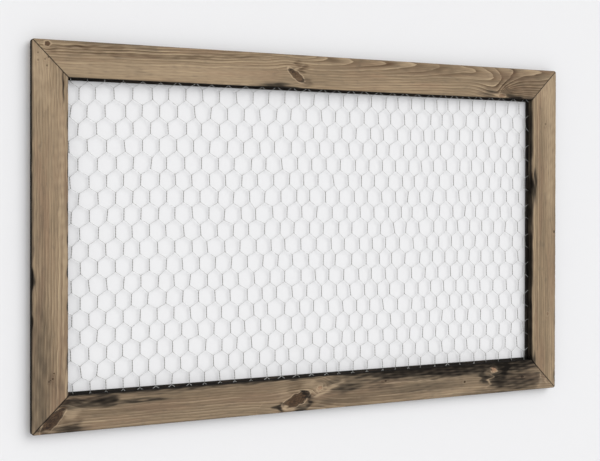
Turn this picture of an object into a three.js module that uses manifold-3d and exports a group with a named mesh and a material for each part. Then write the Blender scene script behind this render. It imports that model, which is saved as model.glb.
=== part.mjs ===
// A rustic wooden picture frame that holds hexagonal wire netting in place of glass.
// Lengths are in millimetres. X runs along the frame, Y runs from its front to the wall, and Z is up.
// The origin lies on the wall, midway between the two hooks that carry the hanger rings.
import * as THREE from "three";
import { mergeVertices } from "three/addons/utils/BufferGeometryUtils.js";
import Module from "manifold-3d";

const wasm = await Module();
wasm.setup();

// The frame as a whole
const frameWidth = 1000;
const frameHeight = 600;
const wallGap = 5.5; // from the boards' back to the wall

// Clearances
const seatGap = 0.2; // between pieces that lie on each other
const mitreGap = 0.3; // between two boards at their mitre
const fitGap = 0.3; // all round a fastener in its hole
const cutOverrun = 1; // how far a cutter runs past the face that it opens

// The four boards
const boardWidth = 56;
const boardThickness = 12;
const arrisRadius = 1.4; // worn rounding of the two front edges
const backChamfer = 0.5;

// The black strips that clamp the netting from behind
const stripWidth = 20;
const stripThickness = 3;
const stripReveal = 3.5; // how far a strip shows past the board's inner edge
const stripChamfer = 0.4;

// The netting: rows of hexagons with twisted upright sides
const wireWidth = 1.1;
const wireThickness = 1.6; // two wires lie on each other where they cross and twist
const twistWidth = 2.1; // two wires twisted round each other
const cellWidthAimed = 42;
const rowPitchAimed = 41;
const twistShare = 0.635; // the upright side's share of the row pitch

// Staples over the netting's border
const stapleCrown = 10;
const stapleWire = 1.2;
const stapleLeg = 8; // from the netting's back into the board
const stapleInset = 2; // from the netting's edge to the crown's middle
const railStapleShares = [-0.86, -0.52, -0.17, 0.17, 0.52, 0.86];
const stileStapleShares = [-1, -0.34, 0.34, 1];

// Countersunk screws through the strips
const stripScrewHeadRadius = 2.9;
const stripScrewHeadHeight = 1.8;
const stripScrewRim = 0.3;
const stripScrewShankRadius = 1.4;
const stripScrewLength = 12;
const stripScrewTip = 2.5;
const stripScrewSink = 0.2; // the head's depth below the strip's back
const railScrewShares = [-0.72, -0.24, 0.24, 0.72];
const stileScrewShares = [-0.67, 0.67];

// V-shaped nails across the mitres
const nailArm = 9;
const nailSheet = 0.8;
const nailDepth = 8;
const nailSink = 0.3;
const nailInsetShares = [0.175, 0.77]; // of the board's width, from the frame's outer corner along each edge

// Strap hangers, each with a swinging ring and a pan-head screw
const hangerDrop = 110; // from the frame's top edge to the ring's pivot
const hangerInsetShare = 0.5; // of the bare border beside the netting, from the frame's side edge
const strapWidthShare = 0.37; // of the same border
const strapThickness = 0.9;
const strapLength = 13; // from the pivot to the strap's round end
const strapHoleDrop = 7.5; // from the pivot to the screw
const ringWireRadius = 1.1;
const ringInnerWidthShare = 0.66; // of the same border
const ringReach = 19; // from the pivot to the inside of the bow
const ringCornerRadius = 2.6;
const eyeClearance = 0.25;
const hangerScrewHeadRadius = 2.7;
const hangerScrewHeadHeight = 1.4;
const hangerScrewHeadEdge = 0.5; // straight part of the domed head's edge
const hangerScrewShankRadius = 1.3;
const hangerScrewLength = 9;
const hangerScrewTip = 2;

// Rubber pads at the lower corners
const padRadius = 6;
const padRounding = 1.2;
const padRise = 45; // from the frame's bottom edge to the pad's middle

// Facets
const arcSteps = 2;
const screwFacets = 10;
const eyeSteps = 6;
const ringSteps = 44;
const ringFacets = 6;
const padFacets = 16;

// Places that follow from the sizes above, in the frame's own coordinates: its middle is x = z = 0 and
// the boards' back is y = 0.
const halfWidth = frameWidth / 2;
const halfHeight = frameHeight / 2;
const nettingFront = seatGap;
const nettingBack = nettingFront + wireThickness;
const stripFront = nettingBack + seatGap;
const stripBack = stripFront + stripThickness;
const stripMiddle = boardWidth + stripReveal - stripWidth / 2; // from the frame's outer edge to a strip's middle
const eyeInnerRadius = ringWireRadius + eyeClearance;
const eyeOuterRadius = eyeInnerRadius + strapThickness;
const pivotOut = seatGap + eyeOuterRadius; // the pivot's distance behind the boards
const pivotHeight = halfHeight - hangerDrop;
const hookHeight = pivotHeight + ringReach;
const nailInsets = nailInsetShares.map((share) => share * boardWidth);

// The netting's lattice. Its outermost full cells are centred on the strips' screw lines, so a screw
// always goes through a cell's middle. Full rows take turns with rows that are half a cell over.
const cellSpan = 2 * (halfWidth - stripMiddle);
const rowSpan = 2 * (halfHeight - stripMiddle);
const columnCount = Math.round(cellSpan / cellWidthAimed) + 1;
const fullRowCount = Math.round(rowSpan / rowPitchAimed / 2) + 1;
const cellWidth = cellSpan / (columnCount - 1);
const rowPitch = rowSpan / (fullRowCount - 1) / 2;
const uprightHalf = (twistShare * rowPitch) / 2;
const slantRise = rowPitch - 2 * uprightHalf;
const slantHalfWire = (wireWidth / 2) * Math.hypot(1, slantRise / (cellWidth / 2));
const slope = slantRise / (cellWidth / 2);
const nettingSide = halfWidth - stripMiddle + cellWidth / 2 + twistWidth / 2;
const nettingTop = halfHeight - stripMiddle + uprightHalf + slantRise + slantHalfWire;
const bareBorder = halfWidth - nettingSide; // of a stile, beside the netting
const hangerInset = hangerInsetShare * bareBorder;
const strapWidth = strapWidthShare * bareBorder;
const ringInnerWidth = ringInnerWidthShare * bareBorder;
const columnPlace = (column) => (column - (columnCount - 1) / 2) * cellWidth;
const fullRowPlace = (row) => (row - (fullRowCount - 1) / 2) * 2 * rowPitch;

// Picks the lattice place nearest to each share of the half span.
function nearestPlaces(shares, count, place) {
  return shares.map((share) => place(Math.round(((share + 1) / 2) * (count - 1))));
}

const finishes = {
  topRailPine: { color: 0x8a7862, roughness: 0.78, metalness: 0 },
  bottomRailPine: { color: 0x7d6f5b, roughness: 0.8, metalness: 0 },
  leftStilePine: { color: 0x8f7f6a, roughness: 0.78, metalness: 0 },
  rightStilePine: { color: 0x9a8a70, roughness: 0.78, metalness: 0 },
  blackStrip: { color: 0x171512, roughness: 0.85, metalness: 0 },
  galvanisedWire: { color: 0xb4b6b5, roughness: 0.45, metalness: 0.8 },
  stapleSteel: { color: 0xa8a7a2, roughness: 0.4, metalness: 0.85 },
  screwSteel: { color: 0xb9a77a, roughness: 0.4, metalness: 0.85 },
  nailSteel: { color: 0x8c8f92, roughness: 0.45, metalness: 0.85 },
  platedSteel: { color: 0xc3c5c7, roughness: 0.28, metalness: 0.95 },
  rubber: { color: 0x24262a, roughness: 0.7, metalness: 0 },
};

// A named mesh with a material of its own.
function piece(name, geometry, finish) {
  const mesh = new THREE.Mesh(geometry, new THREE.MeshStandardMaterial(finish));
  mesh.name = name;
  return mesh;
}

// A closed geometry as a solid that can be joined and cut.
function solidFrom(geometry) {
  const bare = geometry.clone();
  bare.deleteAttribute("normal");
  bare.deleteAttribute("uv");
  const merged = mergeVertices(bare);
  const vertProperties = merged.attributes.position.array;
  const triVerts = new Uint32Array(merged.index.array);
  return new wasm.Manifold(new wasm.Mesh({ numProp: 3, vertProperties, triVerts }));
}

// A solid as a geometry.
function geometryFrom(solid) {
  const mesh = solid.getMesh();
  const geometry = new THREE.BufferGeometry();
  geometry.setAttribute("position", new THREE.BufferAttribute(mesh.vertProperties, 3));
  geometry.setIndex(new THREE.BufferAttribute(mesh.triVerts, 1));
  geometry.computeVertexNormals();
  return geometry;
}

// A geometry less its cutters.
function cut(geometry, cutters) {
  const left = cutters.reduce((solid, cutter) => solid.subtract(solidFrom(cutter)), solidFrom(geometry));
  return geometryFrom(left);
}

// A plate whose outline lies in X and Z, with its back at y = back.
function plate(outline, thickness, back) {
  const options = { depth: thickness, bevelEnabled: false, curveSegments: eyeSteps };
  return new THREE.ExtrudeGeometry(outline, options).rotateX(Math.PI / 2).translate(0, back, 0);
}

// A bar along X whose section is drawn with x as the depth below z = 0 and y as it is.
function bar(section, length, steps) {
  const options = { depth: length, bevelEnabled: false, curveSegments: steps };
  return new THREE.ExtrudeGeometry(section, options).rotateY(Math.PI / 2).translate(-length / 2, 0, 0);
}

// A round piece turned about Y, from a profile of [radius, y] pairs that runs from its tip to its head.
function turned(profile, facets) {
  return new THREE.LatheGeometry(
    profile.map(([radius, y]) => new THREE.Vector2(radius, y)),
    facets,
  );
}

// Slants both ends of a bar at 45 degrees, so that it is longest along z = 0 and meets its neighbours there.
function mitreEnds(geometry, outerLength) {
  const place = geometry.attributes.position;
  const tip = outerLength / 2 - mitreGap * Math.SQRT1_2;
  for (let i = 0; i < place.count; i += 1) {
    place.setX(i, Math.sign(place.getX(i)) * (tip + place.getZ(i)));
  }
  return geometry;
}

// The section of a board: rounded along the front, chamfered along the back.
function boardSection() {
  const section = new THREE.Shape();
  const front = -boardThickness;
  const inner = boardWidth;
  const round = arrisRadius;
  section.moveTo(round, front);
  section.lineTo(inner - round, front);
  section.absarc(inner - round, front + round, round, -Math.PI / 2, 0);
  section.lineTo(inner, -backChamfer);
  section.lineTo(inner - backChamfer, 0);
  section.lineTo(backChamfer, 0);
  section.lineTo(0, -backChamfer);
  section.lineTo(0, front + round);
  section.absarc(round, front + round, round, Math.PI, 1.5 * Math.PI);
  return section;
}

// The section of a back strip, chamfered along its back.
function stripSection() {
  const inner = boardWidth + stripReveal;
  const outer = inner - stripWidth;
  return new THREE.Shape([
    new THREE.Vector2(outer, stripFront),
    new THREE.Vector2(inner, stripFront),
    new THREE.Vector2(inner, stripBack - stripChamfer),
    new THREE.Vector2(inner - stripChamfer, stripBack),
    new THREE.Vector2(outer + stripChamfer, stripBack),
    new THREE.Vector2(outer, stripBack - stripChamfer),
  ]);
}

// A countersunk screw, or with a growth the hole for it, whose head is flush with y = 0.
function stripScrew(growth, mouth) {
  const shank = stripScrewShankRadius + growth;
  const head = stripScrewHeadRadius + growth;
  return turned(
    [
      [0, -stripScrewLength - growth],
      [shank, -stripScrewLength + stripScrewTip - growth],
      [shank, -stripScrewHeadHeight],
      [head, -stripScrewRim],
      [head, mouth],
      [0, mouth],
    ],
    screwFacets,
  );
}

// A pan-head screw that clamps a strap on y = 0.
function hangerScrew() {
  return turned(
    [
      [0, -hangerScrewLength],
      [hangerScrewShankRadius, -hangerScrewLength + hangerScrewTip],
      [hangerScrewShankRadius, 0],
      [hangerScrewHeadRadius, 0],
      [hangerScrewHeadRadius, hangerScrewHeadEdge],
      [hangerScrewShankRadius, hangerScrewHeadHeight],
      [0, hangerScrewHeadHeight],
    ],
    screwFacets,
  );
}

// The hole for a hanger's screw, from the depth of its tip up to y = top.
function hangerScrewHole(top) {
  const radius = hangerScrewShankRadius + fitGap;
  return turned(
    [
      [0, -hangerScrewLength - fitGap],
      [radius, -hangerScrewLength - fitGap],
      [radius, top],
      [0, top],
    ],
    screwFacets,
  );
}

// A staple whose crown lies along Z over the netting's back, with both legs in the board.
function staple() {
  const half = stapleCrown / 2;
  const crownFront = nettingBack + seatGap;
  const crownBack = crownFront + stapleWire;
  const legEnd = nettingBack - stapleLeg;
  const outline = new THREE.Shape([
    new THREE.Vector2(-half, legEnd),
    new THREE.Vector2(-half + stapleWire, legEnd),
    new THREE.Vector2(-half + stapleWire, crownFront),
    new THREE.Vector2(half - stapleWire, crownFront),
    new THREE.Vector2(half - stapleWire, legEnd),
    new THREE.Vector2(half, legEnd),
    new THREE.Vector2(half, crownBack),
    new THREE.Vector2(-half, crownBack),
  ]);
  return bar(outline, stapleWire, arcSteps);
}

// The two holes for a staple's legs, with the crown's middle at [x, z].
function stapleHoles(x, z) {
  const size = stapleWire + 2 * fitGap;
  const depth = stapleLeg - nettingBack + fitGap;
  const apart = (stapleCrown - stapleWire) / 2;
  return [-apart, apart].map((along) =>
    new THREE.BoxGeometry(size, depth + cutOverrun, size).translate(x, (cutOverrun - depth) / 2, z + along),
  );
}

// A V-shaped nail, or with a growth its slot. Its arms run inwards from the corner [0, 0].
function cornerNail(signX, signZ, growth, back) {
  const near = -nailSheet - growth;
  const far = -nailArm - growth;
  const outline = [
    [growth, growth],
    [far, growth],
    [far, near],
    [near, near],
    [near, far],
    [growth, far],
  ];
  const shape = new THREE.Shape(outline.map(([x, z]) => new THREE.Vector2(signX * x, signZ * z)));
  return plate(shape, nailDepth + nailSink + growth + back, back);
}

// The slots for the nails at both ends of a board.
function nailSlots(outerLength) {
  return [-1, 1].flatMap((end) =>
    nailInsets.map((inset) =>
      cornerNail(end, 1, fitGap, cutOverrun).translate(end * (outerLength / 2 - inset), 0, -inset),
    ),
  );
}

// One side of the frame, lying along X with its outer edge on z = 0: the board, its back strip, the
// staples along the netting's border and the screws through the strip.
function frameSide({ board, prefix, outerLength, nettingEdge, staplePlaces, screwPlaces, hangerHoles, finish }) {
  const side = new THREE.Group();
  const stapleLine = nettingEdge - stapleInset;
  const screwLine = -stripMiddle;
  const screwHead = stripBack - stripScrewSink;
  const screwHole = (x) => stripScrew(fitGap, cutOverrun).translate(x, screwHead, screwLine);
  const boardCutters = [
    ...staplePlaces.flatMap((x) => stapleHoles(x, stapleLine)),
    ...screwPlaces.map(screwHole),
    ...nailSlots(outerLength),
    ...hangerHoles.map((x) => hangerScrewHole(cutOverrun).translate(x, 0, -hangerInset)),
  ];
  const boardBar = mitreEnds(bar(boardSection(), outerLength, arcSteps), outerLength);
  side.add(piece(board, cut(boardBar, boardCutters), finish));

  const stripBar = mitreEnds(bar(stripSection(), outerLength, arcSteps), outerLength);
  side.add(piece(`${prefix}_back_strip`, cut(stripBar, screwPlaces.map(screwHole)), finishes.blackStrip));

  staplePlaces.forEach((x, index) => {
    const mesh = piece(`${prefix}_staple_${index + 1}`, staple(), finishes.stapleSteel);
    mesh.position.set(x, 0, stapleLine);
    side.add(mesh);
  });
  screwPlaces.forEach((x, index) => {
    const mesh = piece(`${prefix}_strip_screw_${index + 1}`, stripScrew(0, 0), finishes.screwSteel);
    mesh.position.set(x, screwHead, screwLine);
    side.add(mesh);
  });
  return side;
}

// The hole of one hexagon, between left and right as distances from its middle. A row at the netting's
// edge has half cells, which end at its middle instead of at a twisted side.
function cellHole(x, z, left, right) {
  const heightAt = (distance) => uprightHalf + slantRise - slantHalfWire - slope * Math.abs(distance);
  const across = left < 0 && right > 0 ? [left, 0, right] : [left, right];
  const upper = across.map((distance) => new THREE.Vector2(x + distance, z + heightAt(distance)));
  const lower = across.map((distance) => new THREE.Vector2(x + distance, z - heightAt(distance)));
  return new THREE.Path([...upper, ...lower.reverse()]);
}

// The netting's outline: straight selvages at the sides, and zigzags where the wires turn back.
function nettingOutline() {
  const peak = nettingTop;
  const valley = nettingTop - slantRise;
  const edge = [new THREE.Vector2(nettingSide, valley - slope * (twistWidth / 2))];
  for (let column = columnCount - 1; column >= 0; column -= 1) {
    const x = columnPlace(column);
    edge.push(new THREE.Vector2(x, peak));
    if (column > 0) edge.push(new THREE.Vector2(x - cellWidth / 2, valley));
  }
  edge.push(new THREE.Vector2(-nettingSide, valley - slope * (twistWidth / 2)));
  const lowerEdge = edge.map((point) => new THREE.Vector2(-point.x, -point.y));
  return new THREE.Shape([...edge, ...lowerEdge]);
}

// The whole sheet of netting, with one hole for each hexagon.
function netting() {
  const outline = nettingOutline();
  const reach = (cellWidth - twistWidth) / 2;
  const selvage = twistWidth / 2;
  for (let row = 0; row < 2 * fullRowCount - 1; row += 1) {
    const z = (row - (fullRowCount - 1)) * rowPitch;
    const shifted = row % 2 === 1;
    const cells = shifted ? columnCount + 1 : columnCount;
    for (let cell = 0; cell < cells; cell += 1) {
      const x = (cell - (cells - 1) / 2) * cellWidth;
      const left = shifted && cell === 0 ? selvage : -reach;
      const right = shifted && cell === cells - 1 ? -selvage : reach;
      outline.holes.push(cellHole(x, z, left, right));
    }
  }
  return plate(outline, wireThickness, nettingBack);
}

// A strap bent round into an eye at the pivot, which is the origin. The strap runs down from it.
function strap() {
  const seat = -eyeOuterRadius;
  const top = seat + strapThickness;
  const profile = new THREE.Shape();
  profile.moveTo(strapLength, seat);
  profile.lineTo(0, seat);
  profile.absarc(0, 0, eyeOuterRadius, -Math.PI / 2, Math.asin(top / eyeOuterRadius), true);
  profile.lineTo(strapLength, top);
  const bore = new THREE.Path();
  bore.absarc(0, 0, eyeInnerRadius, 0, 2 * Math.PI);
  profile.holes.push(bore);

  const endRadius = strapWidth / 2;
  const plan = new THREE.Shape();
  plan.moveTo(-endRadius, eyeOuterRadius + cutOverrun);
  plan.lineTo(endRadius, eyeOuterRadius + cutOverrun);
  plan.lineTo(endRadius, endRadius - strapLength);
  plan.absarc(0, endRadius - strapLength, endRadius, 0, -Math.PI, true);
  const planThickness = 2 * (eyeOuterRadius + cutOverrun);
  const rounded = solidFrom(bar(profile, strapWidth, eyeSteps)).intersect(
    solidFrom(plate(plan, planThickness, planThickness / 2)),
  );
  const hole = hangerScrewHole(cutOverrun).translate(0, top, -strapHoleDrop);
  return geometryFrom(rounded.subtract(solidFrom(hole)));
}

// The closed line of a ring's wire: a straight bar in the eye, two legs and a round bow below them.
class RingLine extends THREE.Curve {
  constructor() {
    super();
    const half = ringInnerWidth / 2 + ringWireRadius;
    const bowCentre = half - ringReach - ringWireRadius;
    const round = ringCornerRadius;
    this.outline = new THREE.Path();
    this.outline.moveTo(0, 0);
    this.outline.lineTo(half - round, 0);
    this.outline.absarc(half - round, -round, round, Math.PI / 2, 0, true);
    this.outline.lineTo(half, bowCentre);
    this.outline.absarc(0, bowCentre, half, 0, -Math.PI, true);
    this.outline.lineTo(-half, -round);
    this.outline.absarc(round - half, -round, round, Math.PI, Math.PI / 2, true);
    this.outline.lineTo(0, 0);
  }

  getPoint(t, target = new THREE.Vector3()) {
    const point = this.outline.getPoint(t);
    return target.set(point.x, 0, point.y);
  }
}

// A hanger with its pivot at the group's origin.
function hanger(prefix) {
  const group = new THREE.Group();
  const ring = new THREE.TubeGeometry(new RingLine(), ringSteps, ringWireRadius, ringFacets, true);
  const strapTop = strapThickness - eyeOuterRadius;
  const screw = piece(`${prefix}_hanger_screw`, hangerScrew(), finishes.screwSteel);
  screw.position.set(0, strapTop + seatGap, -strapHoleDrop);
  group.add(piece(`${prefix}_hanger_strap`, strap(), finishes.platedSteel));
  group.add(piece(`${prefix}_hanger_ring`, ring, finishes.platedSteel));
  group.add(screw);
  return group;
}

// A rubber pad with a rounded edge, from the boards' back to the wall.
function wallPad() {
  return turned(
    [
      [0, seatGap],
      [padRadius, seatGap],
      [padRadius, wallGap - padRounding],
      [padRadius - padRounding, wallGap],
      [0, wallGap],
    ],
    padFacets,
  );
}

const railStaples = nearestPlaces(railStapleShares, columnCount, columnPlace);
const railScrews = nearestPlaces(railScrewShares, columnCount, columnPlace);
const stileStaples = nearestPlaces(stileStapleShares, fullRowCount, fullRowPlace);
const stileScrews = nearestPlaces(stileScrewShares, fullRowCount, fullRowPlace);
const hangerScrewHeight = pivotHeight - strapHoleDrop;
const rail = {
  outerLength: frameWidth,
  nettingEdge: nettingTop - halfHeight,
  staplePlaces: railStaples,
  screwPlaces: railScrews,
  hangerHoles: [],
};
const stile = {
  outerLength: frameHeight,
  nettingEdge: nettingSide - halfWidth,
  staplePlaces: stileStaples,
  screwPlaces: stileScrews,
};

const pictureFrame = new THREE.Group();
pictureFrame.name = "picture_frame";
pictureFrame.position.set(0, -wallGap, -hookHeight);

const top = frameSide({ ...rail, board: "top_rail", prefix: "top", finish: finishes.topRailPine });
top.position.z = halfHeight;
const bottom = frameSide({ ...rail, board: "bottom_rail", prefix: "bottom", finish: finishes.bottomRailPine });
bottom.rotation.y = Math.PI;
bottom.position.z = -halfHeight;
const left = frameSide({
  ...stile,
  board: "left_stile",
  prefix: "left",
  hangerHoles: [hangerScrewHeight],
  finish: finishes.leftStilePine,
});
left.rotation.y = -Math.PI / 2;
left.position.x = -halfWidth;
const right = frameSide({
  ...stile,
  board: "right_stile",
  prefix: "right",
  hangerHoles: [-hangerScrewHeight],
  finish: finishes.rightStilePine,
});
right.rotation.y = Math.PI / 2;
right.position.x = halfWidth;
pictureFrame.add(top, bottom, left, right);

pictureFrame.add(piece("wire_netting", netting(), finishes.galvanisedWire));

for (const [vertical, signZ] of [["top", 1], ["bottom", -1]]) {
  for (const [across, signX] of [["left", -1], ["right", 1]]) {
    nailInsets.forEach((inset, index) => {
      const name = `${vertical}_${across}_corner_nail_${index + 1}`;
      const nail = piece(name, cornerNail(signX, signZ, 0, 0).translate(0, -nailSink, 0), finishes.nailSteel);
      nail.position.set(signX * (halfWidth - inset), 0, signZ * (halfHeight - inset));
      pictureFrame.add(nail);
    });
  }
}

for (const [across, signX] of [["left", -1], ["right", 1]]) {
  const assembled = hanger(across);
  assembled.position.set(signX * (halfWidth - hangerInset), pivotOut, pivotHeight);
  pictureFrame.add(assembled);

  const pad = piece(`${across}_wall_pad`, wallPad(), finishes.rubber);
  pad.position.set(signX * (halfWidth - hangerInset), 0, padRise - halfHeight);
  pictureFrame.add(pad);
}

export default pictureFrame;
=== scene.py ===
"""Shapes and finishes for a rustic wooden picture frame that holds hexagonal wire netting.

Worked sizes are in millimetres, and a mesh is turned to metres when it is made. X runs along the frame, Y
runs from its front to the wall and Z is up.
"""
import math

import bpy
import numpy as np
from bpy.props import FloatProperty, FloatVectorProperty, IntProperty, PointerProperty
from mathutils import Matrix, Vector


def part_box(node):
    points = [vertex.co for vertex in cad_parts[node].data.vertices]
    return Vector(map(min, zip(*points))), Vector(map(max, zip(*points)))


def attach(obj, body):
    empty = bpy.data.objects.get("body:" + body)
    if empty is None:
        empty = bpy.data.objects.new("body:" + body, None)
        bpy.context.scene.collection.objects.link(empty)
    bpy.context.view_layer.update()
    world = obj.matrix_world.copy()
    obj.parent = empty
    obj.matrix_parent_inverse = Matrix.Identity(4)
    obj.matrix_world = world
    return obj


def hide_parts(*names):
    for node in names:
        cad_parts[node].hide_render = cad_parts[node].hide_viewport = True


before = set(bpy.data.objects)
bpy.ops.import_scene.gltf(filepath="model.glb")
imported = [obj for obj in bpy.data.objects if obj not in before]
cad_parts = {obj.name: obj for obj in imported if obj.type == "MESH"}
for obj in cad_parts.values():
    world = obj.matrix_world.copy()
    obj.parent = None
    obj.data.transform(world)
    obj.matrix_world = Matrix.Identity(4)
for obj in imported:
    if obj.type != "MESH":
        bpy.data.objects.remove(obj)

bl_info = {
    "name": "Rustic picture frame",
    "version": (1, 0, 0),
    "blender": (4, 5, 0),
    "location": "View3D > Sidebar > Picture Frame",
    "description": "Boards, netting, hangers and finishes of a wooden picture frame",
    "category": "Object",
}

MM = 0.001
RANDOM_SEED = 4217


def linear(colour):
    """An sRGB hex colour as linear red, green, blue and alpha."""
    parts = [int(colour[i : i + 2], 16) / 255 for i in (1, 3, 5)]
    return [c / 12.92 if c <= 0.04045 else ((c + 0.055) / 1.055) ** 2.4 for c in parts] + [1.0]


def node_box(name):
    """The lowest and highest corner of a CAD node, in millimetres."""
    low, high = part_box(name)
    return np.array(low) / MM, np.array(high) / MM


# Measures of the CAD frame, in millimetres
OUTER_LOW = np.minimum(node_box("bottom_rail")[0], node_box("left_stile")[0])
OUTER_HIGH = np.maximum(node_box("top_rail")[1], node_box("right_stile")[1])
BOARD_WIDTH = float(node_box("left_stile")[1][0] - node_box("left_stile")[0][0])
BOARD_THICKNESS = float(node_box("left_stile")[1][1] - node_box("left_stile")[0][1])
FRAME_WIDTH, FRAME_HEIGHT = float(OUTER_HIGH[0] - OUTER_LOW[0]), float(OUTER_HIGH[2] - OUTER_LOW[2])
FRONT = float(node_box("left_stile")[0][1])
NAIL_INSETS = [float(OUTER_HIGH[2] - sum(node_box(f"top_right_corner_nail_{i}"))[2] / 2) for i in (1, 2)]


# Numbers and patterns


def glide(x, places, values):
    """Values at their places, joined by curves that leave and reach each place level."""
    places, values = np.asarray(places, float), np.asarray(values, float)
    i = np.clip(np.searchsorted(places, x) - 1, 0, len(places) - 2)
    t = np.clip((x - places[i]) / (places[i + 1] - places[i]), 0, 1)
    return values[i] + (values[i + 1] - values[i]) * t * t * (3 - 2 * t)


def drift(x, places, values):
    """Values at their places, joined by straight lines whose
    corners are rounded by a mean over 24 units."""
    return sum(np.interp(x + step, places, values) for step in range(-12, 13, 4)) / 7


def ramp(x, low, high):
    """0 up to low, 1 from high on, and a smooth rise between them."""
    t = np.clip((x - low) / (high - low), 0, 1)
    return t * t * (3 - 2 * t)


def wander(x, period, seed, waves=5):
    """A slow wander between about -1 and 1: a mean of sine waves of unlike periods round the one given."""
    random = np.random.default_rng(RANDOM_SEED + seed)
    total = np.zeros_like(np.asarray(x, float))
    for _ in range(waves):
        total = total + np.sin(2 * np.pi * (x / (period * random.uniform(0.45, 1.9)) + random.uniform()))
    return total / math.sqrt(waves)


def patches(u, s, size_u, size_s, seed, waves=9):
    """Soft patches between about -1 and 1: a mean of plane
    waves in many directions, stretched to size_u by size_s."""
    random = np.random.default_rng(RANDOM_SEED + seed)
    total = np.zeros_like(np.asarray(u, float))
    for _ in range(waves):
        turn, grow = random.uniform(0, 2 * np.pi), random.uniform(0.6, 1.8)
        phase = u / size_u * math.cos(turn) + s / size_s * math.sin(turn)
        total = total + np.sin(2 * np.pi * (phase * grow + random.uniform()))
    return total / math.sqrt(waves)


def turned(u, s, at, degrees):
    """Distances from a middle, along and across a line that is turned from u to s."""
    cosine, sine = math.cos(math.radians(degrees)), math.sin(math.radians(degrees))
    du, ds = u - at[0], s - at[1]
    return du * cosine + ds * sine, ds * cosine - du * sine


def oval(u, s, at, radii, degrees=0.0):
    """The distance from a turned oval's middle, which is 1 on the oval itself."""
    along, across = turned(u, s, at, degrees)
    return np.hypot(along / radii[0], across / radii[1])


# Meshes


def grid_faces(rows, columns, wrap_rows, wrap_columns):
    """The four-cornered faces of a grid of points, as rows of point numbers."""
    row = np.arange(rows if wrap_rows else rows - 1)
    column = np.arange(columns if wrap_columns else columns - 1)
    row, column = np.meshgrid(row, column, indexing="ij")
    next_row, next_column = (row + 1) % rows, (column + 1) % columns
    here, below = row * columns, next_row * columns
    corners = [here + column, here + next_column, below + next_column, below + column]
    return np.stack(corners, -1).reshape(-1, 4)


def outward(points, loops, starts, totals):
    """Whether the faces point outwards: the sum of signed volumes under them is positive."""
    first, second, third = (points[loops[starts + k]] for k in (0, 1, 2))
    volume = np.einsum("ij,ij->i", first, np.cross(second, third)).sum()
    fours = totals == 4
    last = points[loops[starts[fours] + 3]]
    volume += np.einsum("ij,ij->i", first[fours], np.cross(third[fours], last)).sum()
    return volume > 0


def make_mesh(name, points, faces, attributes=None, sharp=40.0):
    """A mesh from points in millimetres and arrays of faces with three or four corners. The
    faces are turned outwards, and edges sharper than an angle in degrees stay sharp."""
    loops = np.concatenate([f.ravel() for f in faces]).astype(np.int32)
    totals = np.concatenate([np.full(len(f), f.shape[1]) for f in faces]).astype(np.int32)
    starts = np.concatenate([[0], np.cumsum(totals)[:-1]]).astype(np.int32)
    if not outward(points, loops, starts, totals):
        loops = np.concatenate([f[:, ::-1].ravel() for f in faces]).astype(np.int32)
    mesh = bpy.data.meshes.new(name)
    mesh.vertices.add(len(points))
    mesh.vertices.foreach_set("co", (points * MM).astype(np.float32).ravel())
    mesh.loops.add(len(loops))
    mesh.loops.foreach_set("vertex_index", loops)
    mesh.polygons.add(len(starts))
    mesh.polygons.foreach_set("loop_start", starts)
    mesh.polygons.foreach_set("loop_total", totals)
    for key, values in (attributes or {}).items():
        kind, field = ("FLOAT_VECTOR", "vector") if values.ndim == 2 else ("FLOAT", "value")
        mesh.attributes.new(key, kind, "POINT").data.foreach_set(field, values.astype(np.float32).ravel())
    mesh.update(calc_edges=True)
    mesh.validate()
    mesh.polygons.foreach_set("use_smooth", np.ones(len(mesh.polygons), bool))
    mesh.set_sharp_from_angle(angle=math.radians(sharp))
    return mesh


def place_piece(name, mesh, material, nodes, body):
    """Makes a mesh a finished piece that stands for CAD nodes and rides on their body."""
    mesh.materials.append(material)
    piece = bpy.data.objects.new(name, mesh)
    bpy.context.scene.collection.objects.link(piece)
    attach(piece, body)
    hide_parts(*nodes)


def turned_grid(profile, steps):
    """A profile of [radius, height] rows turned about the height's axis: radius
    times cosine, height and radius times sine of an angle that runs once round."""
    profile = np.asarray(profile, float)
    angle = np.linspace(0, 2 * np.pi, steps, endpoint=False)
    x = profile[:, :1] * np.cos(angle)
    z = profile[:, :1] * np.sin(angle)
    y = np.repeat(profile[:, 1:], steps, 1)
    return np.stack([x, y, z], -1)


def close_ends(grid):
    """The points and faces of a grid that wraps across its columns, with a fan of faces over each end."""
    rows, columns = grid.shape[:2]
    points = np.concatenate([grid.reshape(-1, 3), [grid[0].mean(0)], [grid[-1].mean(0)]])
    column = np.arange(columns)
    next_column = (column + 1) % columns
    last = (rows - 1) * columns
    head = np.stack([np.full(columns, rows * columns), next_column, column], -1)
    tail = np.stack([np.full(columns, rows * columns + 1), last + column, last + next_column], -1)
    return points, [grid_faces(rows, columns, False, True), head, tail]


def carried(paths, radius, sides, up, closed=False):
    """A round section carried along paths: at each point, radius times the
    cosine of an angle along the path's side direction, and times its sine
    along the direction square to both. Paths are stacked in an array."""
    if closed:
        ahead = np.roll(paths, -1, 1) - np.roll(paths, 1, 1)
    else:
        ahead = np.gradient(paths, axis=1)
    ahead = ahead / np.linalg.norm(ahead, axis=-1, keepdims=True)
    side = np.cross(ahead, np.asarray(up, float))
    side = side / np.linalg.norm(side, axis=-1, keepdims=True)
    other = np.cross(side, ahead)
    angle = np.linspace(0, 2 * np.pi, sides, endpoint=False)[:, None]
    ring = np.cos(angle) * side[:, :, None] + np.sin(angle) * other[:, :, None]
    return paths[:, :, None] + radius * ring


# Materials

MIX_A, MIX_B = 6, 7  # a Mix node's sockets for its two colours
MIXED = {"data_type": "RGBA"}
FILTERED = {"data_type": "RGBA", "blend_type": "MULTIPLY"}
SMOOTH = {"interpolation_type": "SMOOTHSTEP"}


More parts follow.
